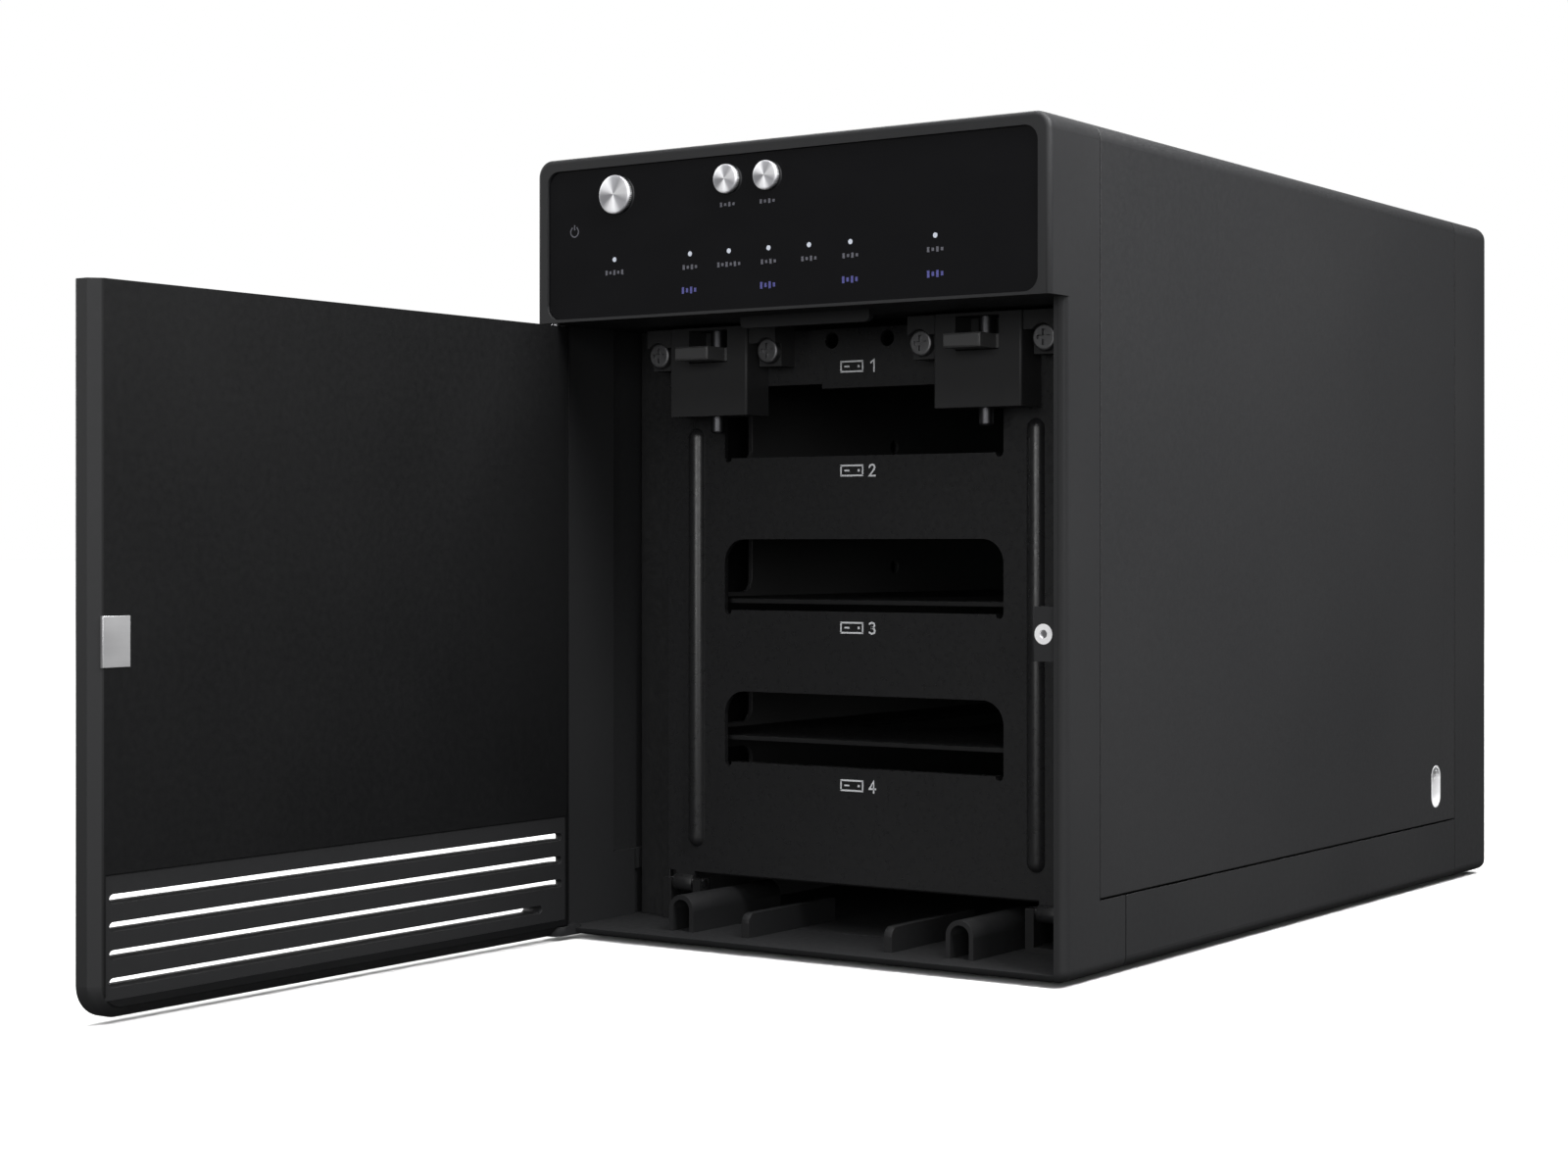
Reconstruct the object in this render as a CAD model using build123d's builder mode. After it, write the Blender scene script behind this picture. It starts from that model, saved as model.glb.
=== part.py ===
"""Four-bay desktop drive enclosure with its front door open.

X is to the right as seen from the front, Y is to the rear, Z is up. The origin is on the
surface that the feet stand on, at the centre of the casing's footprint. Millimetres.
"""

from build123d import *
import os

os.makedirs("parts", exist_ok=True)

# Overall size of the casing
width = 126.0
height = 165.0  # over the feet
depth = 220.0
foot_height = 1.0
top_corner = 3.5
bottom_corner = 2.5
seam_gap = 0.4
front = -depth / 2
back = depth / 2
side = width / 2

# Front bezel
bezel_depth = 18.8
bezel_wall = 2.7
bezel_floor = 1.5
sill_depth = 28.9  # the bezel's lowest strip reaches further back
strip_top = 15.4  # top of the lowest strip on each side
bezel_edge = 1.0
frame_edge = 1.8
block_height = 34.4
block_floor = 2.0
block_top_wall = 2.1
inner_side = side - bezel_wall
floor_top = foot_height + bezel_floor
block_underside = height - block_height

# Control window
window_inset = 0.6
window_thickness = 1.6
window_foot_margin = 0.6
window_head_margin = 2.6
window_corner = 3.0
window_gap = 0.1
window_ledge = 0.8
ledge_thickness = 1.4
window_bottom = block_underside + window_foot_margin
window_top = height - window_head_margin

# Buttons and lights on the control window
power_button_x = -41.8
power_button_clear = 0.4  # from the flange to the window's ledge above it
power_button_radius = 4.0
small_button_radius = 2.95
sync_button_x = -12.9
fan_button_x = -2.9
small_button_clear = 0.35
button_proud = 1.0
button_gap = 0.15
button_flange = 0.8
button_overhang = 0.4
plunger_gap = 0.3
button_travel = 0.8
stem_radius = 1.5
light_row_height = 11.9  # above the window's lower edge
light_pitch = 9.95
light_columns = [-42.4, -22.5] + [-22.5 + light_pitch * n for n in range(1, 5)] + [37.1]
light_radius = 0.5
light_gap = 0.05
flange_margin = 2 * button_gap + button_overhang
flange_ceiling = window_top - window_ledge - flange_margin
power_button_z = flange_ceiling - power_button_clear - power_button_radius
small_button_z = flange_ceiling - small_button_clear - small_button_radius
light_row_z = window_bottom + light_row_height

# Front circuit board
board_thickness = 1.6
board_front = front + 14.0
board_height = 28.0
switch_size = 6.0
switch_depth = 3.0
plunger_length = 1.0
led_size = 2.0
led_depth = 1.2

# Front door
door_thickness = 5.5
door_gap = 0.3  # between the closed door and the bezel behind it
door_side_gap = 0.5
door_head_gap = 0.6
door_bottom = foot_height + 0.2
door_free_corner = 6.0
door_lip = 2.0
door_edge = 0.8
hinge_pin_radius = 1.0
running_gap = 0.05
hinge_pin_grip = 7.0
hinge_pin_reach = 1.3
lug_height = 2.0
lug_gap = 0.3
vent_count = 4
vent_top = 22.1
vent_pitch = 4.87
vent_height = 1.7
vent_margin = 3.4
vent_hinge_margin = 1.0
vent_pin_margin = 7.2  # the lowest slot stops short of the hinge pin
vent_wrap_depth = 3.5  # the others run out round the hinge edge on the outer side
vent_band_depth = 0.3
vent_band_top = 26.5
vent_band_bottom = 4.6
strike_width = 6.0
strike_height = 9.0
strike_thickness = 0.8
strike_proud = 0.2

recess_y = front + door_thickness + door_gap
hinge_x = -side + door_thickness / 2
hinge_y = front + door_thickness / 2
door_width = width - door_side_gap
door_top = block_underside - door_head_gap

# Magnet that holds the door shut
magnet_wall_gap = 2.4
magnet_z = 66.9
magnet_radius = 1.95
magnet_bore = 0.8
magnet_depth = 2.5
magnet_behind_recess = 0.3
boss_height = 10.4
boss_depth = 10.0
boss_half_width = 3.0
boss_screw_margin = 1.0
magnet_x = inner_side - magnet_wall_gap

# Lip under the control block and guides on the recess floor
lip_width = 32.0
lip_height = 2.4
lip_thickness = 1.4
lip_back = 9.0
guide_front = front + 13.0
guide_length = 31.0
arch_gap = 3.1  # from an arch to the drive cover's bracket beside it
arch_width = 6.4
arch_height = 7.7
arch_wall = 1.0
rib_x = 17.8
rib_width = 1.9
rib_height = 5.0

# Top cover, base tray and rear frame
cover_sheet = 1.2
tray_wall = 1.5
tongue_thickness = 1.2
tongue_reach = 1.5  # how far the tray's tongues stand up inside the cover
tongue_root = 3.0
tongue_front_inset = 0.2
tongue_back_inset = 5.0  # ends clear of the rear frame's own tongue
seam_tongue = 3.0  # how far the bezel and the rear frame reach inside the cover
seam_root = 1.0
rear_band = 21.4
rear_wall = 2.5
rear_lip = 3.5
rear_lip_depth = 3.0
rear_edge = 2.0
rear_seam = back - rear_band

# Security lock slot in the right side of the cover
lock_from_back = 33.6
lock_z = 24.6
lock_opening_height = 10.4
lock_opening_width = 5.8
lock_liner_wall = 0.4
lock_depth = 1.6  # how far the recess goes in behind the cover's sheet
lock_slot_height = 7.0
lock_slot_width = 3.0
lock_plate_height = 15.0
lock_plate_width = 12.0
lock_plate_thickness = 1.0
lock_liner_setback = 0.1
lock_y = back - lock_from_back

# Feet
foot_radius = 6.0
foot_pocket = 0.5
foot_side_inset = 13.0
foot_end_inset = 36.0
foot_x = side - foot_side_inset

# Drive cage: a bay for each 101.6 x 147 x 26.1 mm drive
bay_count = 4
bay_width = 103.0
bay_depth = 147.0
bay_pitch = 29.5
bay_floor = 13.2  # top of the lowest shelf
shelf_sheet = 1.0
cage_sheet = 1.2
plug_room = 6.0  # behind each drive, for its socket
cage_front = front + 30.4
shelf_front = cage_front + cage_sheet
cage_back = shelf_front + bay_depth + plug_room
flange_gap = 0.7
flange_end = inner_side - flange_gap
cage_side_x = bay_width / 2
cutout_length = 27.0
cutout_height = 24.0
cutout_corner = 3.0
cutout_setback = 1.6
cutout_lift = 1.0
rail_hole_radius = 1.7
rail_hole_back = 87.0
rail_hole_height = 6.35
shelf_slot_x = 20.0
shelf_slot_width = 28.0
shelf_slot_length = 96.0
shelf_slot_setback = 10.0  # behind the middle of the shelf

# Drive cover, hung on two trunnions at its foot
plate_sheet = 1.2
plate_front = front + 28.7
plate_half_width = 50.6
plate_bottom = 13.0
plate_head_gap = 1.6
plate_corner = 1.0
window_half_width = 35.2
window_first_drop = 11.4
window_pitch = 32.6
window_height = 15.2
window_round = 5.0
window_lip = 1.4
band_lip_left = -9.5
band_lip_height = 1.0
window_lip_end = 1.8
relief_radius = 0.9
rib_line_x = 42.8
emboss_radius = 2.2
emboss_proud = 1.5
emboss_bottom = 20.5
emboss_drop = 22.0
crossbar_hole_x = 7.0
crossbar_hole_drop = 2.4
crossbar_hole_radius = 1.7
pivot_z = 10.4
trunnion_radius = 1.0
knuckle_radius = 1.9
knuckle_length = 5.0
cheek_gap = 0.5
cheek_thickness = 2.0
bracket_top = 11.4
bracket_half_depth = 1.9
bracket_base = 1.2
bracket_gap = 0.5  # from a bracket to the cage beside it
emboss_hollow = 5.0
pivot_y = plate_front + plate_sheet / 2
plate_top = block_underside - plate_head_gap
emboss_top = plate_top - emboss_drop
crossbar_hole_z = plate_top - crossbar_hole_drop
window_first_top = plate_top - window_first_drop
pin_half_length = knuckle_length / 2 + cheek_gap + cheek_thickness
trunnion_x = cage_side_x - bracket_gap - pin_half_length
arch_x = trunnion_x - pin_half_length - arch_gap - arch_width / 2

# Latches on the drive cover
latch_x = 33.75
latch_front = front + 21.0
latch_half_width = 10.3
latch_height = 18.8
latch_head_gap = 0.6
wing_half_width = 17.15
wing_height = 3.8
wing_setback = 0.8
ear_spacing = 14.5
ear_half_width = 3.1
ear_height = 4.8
ear_setback = 3.0
latch_screw_drop = 5.4
latch_screw_head = 2.65
latch_screw_head_height = 1.6
latch_screw_radius = 1.5
latch_screw_gap = 0.1
cross_length = 3.2
cross_width = 0.8
latch_cross_depth = 0.8
panel_cross_depth = 0.7
pocket_half_width = 5.1
pocket_height = 6.9
pocket_head = 0.6
pocket_depth = 5.9
bolt_radius = 1.5
bolt_y = latch_front + 3.5
bolt_reach = 3.6  # how far a lowered bolt stands out below its latch
bolt_setback = 0.1
bolt_hole_gap = 0.3
tab_gap = 0.2
tab_height = 2.9
tab_proud = 6.0
tab_half_width = 4.4
tab_edge = 0.5
latch_top = block_underside - latch_head_gap
latch_bottom = latch_top - latch_height
wing_bottom = latch_top - wing_height
ear_bottom = wing_bottom - ear_height
latch_screw_z = latch_top - latch_screw_drop
pocket_top = latch_top - pocket_head
pocket_bottom = pocket_top - pocket_height
bolt_bottom = latch_bottom - bolt_reach
bolt_top = latch_top - bolt_setback

# Backplane and its sockets
backplane_half_width = 54.0
backplane_bottom = 14.0
backplane_head_gap = 1.6
socket_width = 33.4
socket_height = 5.6
socket_depth = 5.9
socket_lift = 3.5
backplane_slot_length = 60.0
backplane_slot_height = 8.0
backplane_slot_lift = 1.0
socket_side_wall = 1.2
socket_under_wall = 1.4
socket_over_wall = 1.8
socket_mouth_depth = 4.0
backplane_top = block_underside - backplane_head_gap

# Rear panel, fan and rear sockets
panel_sheet = 1.2
panel_gap = 0.1
panel_back = back - rear_lip_depth
panel_front = panel_back - panel_sheet
fan_size = 80.0
fan_depth = 15.0
fan_z = 90.0
fan_corner = 4.0
fan_bore_wall = 1.8
fan_bore_radius = fan_size / 2 - fan_bore_wall
fan_screw_inset = 4.25
fan_screw_spacing = fan_size - 2 * fan_screw_inset
fan_screw_hole = 2.15
fan_screw_radius = 1.9
fan_screw_head = 3.4
fan_screw_head_height = 1.5
fan_screw_length = 7.0
fan_base_radius = 17.0
fan_base_depth = 3.5
fan_strut_width = 3.0
fan_strut_depth = 2.5
hub_radius = 16.5
hub_gap = 0.4
hub_setback = 1.0
shaft_radius = 1.5
shaft_length = 2.0
blade_count = 7
blade_gap = 0.8
blade_tip_radius = fan_bore_radius - blade_gap
blade_thickness = 1.3
blade_chord = 15.0
blade_pitch = 38.0
grille_rings = [12.0, 18.5, 25.0, 31.5]
grille_slot = 4.0
grille_bridge = 5.0
panel_screw_side_inset = 10.5
panel_screw_x = side - panel_screw_side_inset
panel_screw_inset = 9.0
panel_screw_radius = 1.5
panel_screw_head = 2.8
panel_screw_head_height = 1.4
fan_cross_length = 3.8
fan_cross_width = 0.9
fan_cross_depth = 0.7
panel_boss_radius = 3.2
panel_boss_depth = 10.0
panel_boss_web = 2.0

# Controller board on four posts
controller_bottom = 16.0
controller_half_width = 52.0
controller_length = 27.4
controller_gap = 0.4
controller_front = panel_front - controller_gap - controller_length
post_radius = 2.5
post_x = 44.0
usb_x = -8.0
usb_width = 12.0
usb_height = 11.2
usb_depth = 16.0
usb_wall = 1.0
usb_tongue_half_width = 2.8
usb_tongue_low = 3.6
usb_tongue_high = 6.8
esata_x = 22.0
esata_width = 16.5
esata_height = 6.2
esata_depth = 14.0
esata_wall = 1.4
esata_tongue_half_width = 5.0
esata_tongue_low = 3.4
esata_tongue_high = 4.4
jack_x = -34.0
jack_width = 9.0
jack_height = 11.0
jack_depth = 14.0
jack_bore_radius = 3.1
jack_pin_radius = 1.0
socket_proud = 0.4
socket_clearance = 0.2
port_floor = 4.0  # thickness at the closed end of each rear socket
port_tongue_setback = 1.0
port_tongue_root = 3.0

# Ribbon cable over the cage
cable_width = 16.0
cable_thickness = 0.8
cable_clear = 0.6
cable_bend = 2.0
cable_start_height = 13.4  # above the front board's lower edge
cable_end_drop = 17.0  # below the backplane's upper edge


def facing(y):
    """Upright plane at depth y. Its x is X and its y is Z. It faces the front."""
    return Plane(origin=(0, y, 0), x_dir=(1, 0, 0), z_dir=(0, -1, 0))


def box_between(low, high, mode=Mode.ADD):
    """A box between two opposite corners."""
    size = [b - a for a, b in zip(low, high)]
    with Locations(low):
        Box(*size, align=(Align.MIN, Align.MIN, Align.MIN), mode=mode)


def rod(x, z, radius, y_from, y_to, mode=Mode.ADD):
    """A round bar that runs to the rear from y_from to y_to."""
    with Locations(Location((x, y_from, z), (-90, 0, 0))):
        Cylinder(radius, y_to - y_from, align=(Align.CENTER, Align.CENTER, Align.MIN), mode=mode)


def post(x, y, radius, z_from, z_to, mode=Mode.ADD):
    """A round bar that stands from z_from to z_to."""
    with Locations((x, y, z_from)):
        Cylinder(radius, z_to - z_from, align=(Align.CENTER, Align.CENTER, Align.MIN), mode=mode)


def cross_bar(x_from, x_to, y, z, radius, mode=Mode.ADD):
    """A round bar that runs to the right from x_from to x_to."""
    with Locations(Location((x_from, y, z), (0, 90, 0))):
        Cylinder(radius, x_to - x_from, align=(Align.CENTER, Align.CENTER, Align.MIN), mode=mode)


def cross_cut(x, y, z, length, width_across, depth_in):
    """Cut a driver's cross into an upright face at depth y."""
    with Locations((x, y, z)):
        Box(length, 2 * depth_in, width_across, mode=Mode.SUBTRACT)
        Box(width_across, 2 * depth_in, length, mode=Mode.SUBTRACT)


def body_outline(y, inset=0.0):
    """The casing's front outline at depth y, drawn in by inset all round."""
    with BuildSketch(facing(y)) as outline:
        middle = (foot_height + height) / 2
        with Locations((0, middle)):
            Rectangle(width - 2 * inset, height - foot_height - 2 * inset)
        fillet(outline.vertices().sort_by(Axis.Y)[2:], max(top_corner - inset, 0.5))
        fillet(outline.vertices().sort_by(Axis.Y)[:2], max(bottom_corner - inset, 0.5))
    return outline.sketch


def upper_ring(outer_inset, inner_inset):
    """The band between two insets of the casing's outline, above the lowest strip."""
    with BuildSketch() as ring:
        for inset, mode in ((outer_inset, Mode.ADD), (inner_inset, Mode.SUBTRACT)):
            low_z = strip_top + seam_gap
            high_z = height - inset
            with Locations((0, low_z)):
                Rectangle(
                    width - 2 * inset,
                    high_z - low_z,
                    align=(Align.CENTER, Align.MIN),
                    mode=mode,
                )
            if mode == Mode.ADD:
                fillet(ring.vertices().sort_by(Axis.Y)[2:], top_corner - inset)
    return ring.sketch


def plate_rectangle(y, half_width, z_low, z_high, corner):
    """An upright rounded rectangle, centred on X, at depth y."""
    with BuildSketch(facing(y)) as plate:
        with Locations((0, (z_low + z_high) / 2)):
            RectangleRounded(2 * half_width, z_high - z_low, corner)
    return plate.sketch


def grille_ring(radius):
    """Four arc slots on a circle, with a straight bridge between each two."""
    with BuildSketch() as ring:
        Circle(radius + grille_slot / 2)
        Circle(radius - grille_slot / 2, mode=Mode.SUBTRACT)
        for turn in (0, 90):
            Rectangle(
                2 * (radius + grille_slot), grille_bridge, rotation=turn, mode=Mode.SUBTRACT
            )
    return ring.sketch


def write(piece, name):
    """Label a finished piece and write it as its own STEP file."""
    piece.part.label = name
    export_step(piece.part, f"parts/{name}.step")


# Front bezel: control block on top, open recess below, door hinge lug at the lower left
with BuildPart() as front_bezel:
    extrude(body_outline(front), amount=-sill_depth)
    box_between(
        (-side, front + bezel_depth, strip_top), (side, front + sill_depth, height), Mode.SUBTRACT
    )
    box_between((-side, front, 0), (side, recess_y, block_underside), Mode.SUBTRACT)
    fillet(front_bezel.edges().group_by(Axis.Y)[0].sort_by(Axis.Z)[1:], bezel_edge)
    recess_edges = front_bezel.edges().filter_by_position(Axis.Y, recess_y - 0.01, recess_y + 0.01)
    fillet(recess_edges.sort_by(Axis.Z)[:-1], frame_edge)
    box_between(
        (-inner_side, front, floor_top),
        (inner_side, front + sill_depth, block_underside),
        Mode.SUBTRACT,
    )
    pocket = plate_rectangle(front, inner_side, window_bottom, window_top, window_corner)
    extrude(pocket, amount=-(window_inset + window_thickness), mode=Mode.SUBTRACT)
    sight = plate_rectangle(
        front,
        inner_side - window_ledge,
        window_bottom + window_ledge,
        window_top - window_ledge,
        window_corner - window_ledge,
    )
    extrude(sight, amount=-bezel_depth, mode=Mode.SUBTRACT)
    ledge_back = front + window_inset + window_thickness + ledge_thickness
    box_between(
        (-inner_side, ledge_back, block_underside + block_floor),
        (inner_side, front + bezel_depth, height - block_top_wall),
        Mode.SUBTRACT,
    )
    # tongues that run in behind the cover
    with BuildSketch(facing(front + bezel_depth - seam_root)) as tongue:
        add(upper_ring(cover_sheet, bezel_wall))
    extrude(amount=-(seam_root + seam_tongue))
    for sign in (-1, 1):
        outer_x = side - cover_sheet
        low_x, high_x = sorted((sign * outer_x, sign * inner_side))
        box_between(
            (low_x, front + bezel_depth, strip_top - tongue_root),
            (high_x, front + sill_depth, strip_top + tongue_reach),
        )
    # finger lip under the block
    with BuildSketch(facing(front + lip_back)) as lip:
        with Locations((0, block_underside - lip_height / 2 + bezel_edge / 2)):
            RectangleRounded(lip_width, lip_height + bezel_edge, lip_height / 2)
    extrude(amount=-lip_thickness)
    # magnet boss on the right wall
    boss_front = recess_y + magnet_behind_recess
    box_between(
        (magnet_x - boss_half_width, boss_front, magnet_z - boss_height / 2),
        (inner_side, boss_front + boss_depth, magnet_z + boss_height / 2),
    )
    boss_corner = front_bezel.edges().filter_by(Axis.Z).filter_by_position(
        Axis.X, magnet_x - boss_half_width - 0.01, magnet_x - boss_half_width + 0.01
    )
    fillet(boss_corner, bezel_edge)
    rod(magnet_x, magnet_z, magnet_radius, boss_front, boss_front + magnet_depth, Mode.SUBTRACT)
    screw_hole_end = boss_front + boss_depth - boss_screw_margin
    rod(magnet_x, magnet_z, magnet_bore, boss_front, screw_hole_end, Mode.SUBTRACT)
    # hinge: a lug under the door and a hole in the block above it
    post(hinge_x, hinge_y, door_thickness / 2, foot_height, foot_height + lug_height)
    box_between(
        (-side, hinge_y, foot_height),
        (-side + door_thickness, recess_y + frame_edge, foot_height + lug_height),
    )
    hinge_hole = hinge_pin_radius + running_gap
    post(hinge_x, hinge_y, hinge_hole, foot_height, foot_height + lug_height, Mode.SUBTRACT)
    hole_top = block_underside + hinge_pin_reach + lug_gap / 2
    post(hinge_x, hinge_y, hinge_hole, block_underside, hole_top, Mode.SUBTRACT)
write(front_bezel, "front_bezel")

# Glossy control window
window_y = front + window_inset
with BuildPart() as control_panel:
    pane = plate_rectangle(
        window_y,
        inner_side - window_gap,
        window_bottom + window_gap,
        window_top - window_gap,
        window_corner - window_gap,
    )
    extrude(pane, amount=-window_thickness)
    window_back = window_y + window_thickness
    rod(
        power_button_x,
        power_button_z,
        power_button_radius + button_gap,
        window_y,
        window_back,
        Mode.SUBTRACT,
    )
    for button_x in (sync_button_x, fan_button_x):
        rod(
            button_x,
            small_button_z,
            small_button_radius + button_gap,
            window_y,
            window_back,
            Mode.SUBTRACT,
        )
    for light_x in light_columns:
        rod(light_x, light_row_z, light_radius + light_gap, window_y, window_back, Mode.SUBTRACT)
write(control_panel, "control_panel")

# Push buttons: a cap through the window, a flange behind it and a stem towards its switch
plunger_tip = board_front - switch_depth - plunger_length
stem_end = plunger_tip - button_travel - plunger_gap
buttons = {
    "power_button": (power_button_x, power_button_z, power_button_radius),
    "sync_button": (sync_button_x, small_button_z, small_button_radius),
    "fan_button": (fan_button_x, small_button_z, small_button_radius),
}
for button_name, (button_x, button_z, button_radius) in buttons.items():
    with BuildPart() as button:
        flange_front = window_back + button_gap
        rod(button_x, button_z, button_radius, window_y - button_proud, flange_front)
        fillet(button.edges().group_by(Axis.Y)[0], button_proud / 2)
        rod(
            button_x,
            button_z,
            button_radius + flange_margin,
            flange_front,
            flange_front + button_flange,
        )
        rod(button_x, button_z, stem_radius, flange_front + button_flange, stem_end)
    write(button, button_name)

# Front circuit board with its switches, lights and light pipes
board_bottom = block_underside + block_floor
with BuildPart() as front_board:
    box_between(
        (-inner_side + seam_gap, board_front, board_bottom),
        (inner_side - seam_gap, board_front + board_thickness, board_bottom + board_height),
    )
write(front_board, "front_board")

with BuildPart() as tact_switches:
    for button_x, button_z, _ in buttons.values():
        box_between(
            (button_x - switch_size / 2, board_front - switch_depth, button_z - switch_size / 2),
            (button_x + switch_size / 2, board_front, button_z + switch_size / 2),
        )
        rod(button_x, button_z, stem_radius, plunger_tip, board_front - switch_depth)
write(tact_switches, "tact_switches")

with BuildPart() as status_leds:
    for light_x in light_columns:
        box_between(
            (light_x - led_size / 2, board_front - led_depth, light_row_z - led_size / 2),
            (light_x + led_size / 2, board_front, light_row_z + led_size / 2),
        )
write(status_leds, "status_leds")

with BuildPart() as light_pipes:
    for light_x in light_columns:
        rod(light_x, light_row_z, light_radius, window_y, board_front - led_depth)
write(light_pipes, "light_pipes")

# Front door, modelled open: its outer face lies flush with the casing's left side
door_free_y = hinge_y - (door_width - door_thickness / 2)
door_inner_x = -side + door_thickness
with BuildPart() as front_door:
    with BuildSketch(Plane.YZ.offset(-side)) as door_face:
        with Locations(((door_free_y + hinge_y) / 2, (door_bottom + door_top) / 2)):
            Rectangle(hinge_y - door_free_y, door_top - door_bottom)
        fillet(door_face.vertices().group_by(Axis.X)[0].sort_by(Axis.Y)[0], door_free_corner)
    extrude(amount=door_thickness)
    free_edges = front_door.faces().sort_by(Axis.X)[-1].edges().sort_by(Axis.Y)[:-2]
    inner_rim = free_edges.filter_by_position(Axis.Z, door_bottom - 1, door_top - 1)
    chamfer(inner_rim, door_lip)
    outer_rim = front_door.faces().sort_by(Axis.X)[0].edges().sort_by(Axis.Y)[:-1]
    fillet(outer_rim, door_edge)
    post(hinge_x, hinge_y, door_thickness / 2, door_bottom, door_top)
    # band of vent slots
    vent_start = door_free_y + vent_margin
    vent_end = hinge_y - vent_hinge_margin
    box_between(
        (door_inner_x - vent_band_depth, vent_start - 1, vent_band_bottom),
        (door_inner_x, vent_end + 1, vent_band_top),
        Mode.SUBTRACT,
    )
    vent_rows = [vent_top - row * vent_pitch for row in range(vent_count)]
    with BuildSketch(Plane.YZ.offset(-side)) as vents:
        for vent_z in vent_rows:
            slot_end = hinge_y - (vent_pin_margin if vent_z == vent_rows[-1] else vent_hinge_margin)
            with Locations(((vent_start + slot_end) / 2, vent_z)):
                SlotOverall(slot_end - vent_start, vent_height)
    extrude(amount=door_thickness, mode=Mode.SUBTRACT)
    for vent_z in vent_rows[:-1]:
        box_between(
            (-side, vent_end - door_thickness, vent_z - vent_height / 2),
            (-side + vent_wrap_depth, hinge_y + door_thickness, vent_z + vent_height / 2),
            Mode.SUBTRACT,
        )
    # seat of the strike plate, opposite the magnet when the door is shut
    strike_y = hinge_y - (magnet_x - hinge_x)
    strike_seat_x = door_inner_x - (strike_thickness - strike_proud)
    box_between(
        (strike_seat_x, strike_y - strike_width / 2, magnet_z - strike_height / 2),
        (door_inner_x, strike_y + strike_width / 2, magnet_z + strike_height / 2),
        Mode.SUBTRACT,
    )
    # room for the hinge lug, and the pin holes
    lug_clear_z = foot_height + lug_height + lug_gap
    box_between(
        (-side, hinge_y - door_thickness / 2 - lug_gap, 0),
        (door_inner_x, hinge_y + door_thickness / 2, lug_clear_z),
        Mode.SUBTRACT,
    )
    post(
        hinge_x, hinge_y, hinge_pin_radius, lug_clear_z, lug_clear_z + hinge_pin_grip, Mode.SUBTRACT
    )
    post(hinge_x, hinge_y, hinge_pin_radius, door_top - hinge_pin_grip, door_top, Mode.SUBTRACT)
write(front_door, "front_door")

with BuildPart() as door_strike:
    box_between(
        (strike_seat_x, strike_y - strike_width / 2, magnet_z - strike_height / 2),
        (
            strike_seat_x + strike_thickness,
            strike_y + strike_width / 2,
            magnet_z + strike_height / 2,
        ),
    )
    fillet(door_strike.edges().group_by(Axis.X)[-1], strike_proud / 2)
write(door_strike, "door_strike")

with BuildPart() as door_hinge_pins:
    post(
        hinge_x,
        hinge_y,
        hinge_pin_radius,
        foot_height + lug_gap,
        lug_clear_z + hinge_pin_grip,
    )
    post(
        hinge_x,
        hinge_y,
        hinge_pin_radius,
        door_top - hinge_pin_grip,
        block_underside + hinge_pin_reach,
    )
write(door_hinge_pins, "door_hinge_pins")

# Ring magnet and the screw through it
with BuildPart() as door_magnet:
    rod(magnet_x, magnet_z, magnet_radius, boss_front, boss_front + magnet_depth)
    rod(magnet_x, magnet_z, magnet_bore, boss_front, boss_front + magnet_depth, Mode.SUBTRACT)
write(door_magnet, "door_magnet")

with BuildPart() as magnet_screw:
    screw_end = screw_hole_end - boss_screw_margin
    rod(magnet_x, magnet_z, magnet_bore, boss_front + lug_gap, screw_end)
write(magnet_screw, "magnet_screw")

# Guides on the recess floor: two hollow arches and two ribs, which run in under the drive cover
guide_back = guide_front + guide_length
with BuildPart() as floor_guides:
    with BuildSketch(facing(guide_front)) as arches:
        with Locations((-arch_x, floor_top), (arch_x, floor_top)):
            Rectangle(arch_width, arch_height - arch_width / 2, align=(Align.CENTER, Align.MIN))
        crown_z = floor_top + arch_height - arch_width / 2
        with Locations((-arch_x, crown_z), (arch_x, crown_z)):
            Circle(arch_width / 2)
        with Locations((-arch_x, floor_top), (arch_x, floor_top)):
            Rectangle(
                arch_width - 2 * arch_wall,
                arch_height - arch_width / 2,
                align=(Align.CENTER, Align.MIN),
                mode=Mode.SUBTRACT,
            )
        with Locations((-arch_x, crown_z), (arch_x, crown_z)):
            Circle(arch_width / 2 - arch_wall, mode=Mode.SUBTRACT)
    extrude(amount=-guide_length)
    for sign in (-1, 1):
        box_between(
            (sign * rib_x - rib_width / 2, guide_front, floor_top),
            (sign * rib_x + rib_width / 2, guide_back, floor_top + rib_height),
        )
    rib_ends = floor_guides.edges().filter_by(Axis.X).group_by(Axis.Y)[0].group_by(Axis.Z)[-1]
    fillet(rib_ends, rib_width)
write(floor_guides, "floor_guides")

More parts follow.
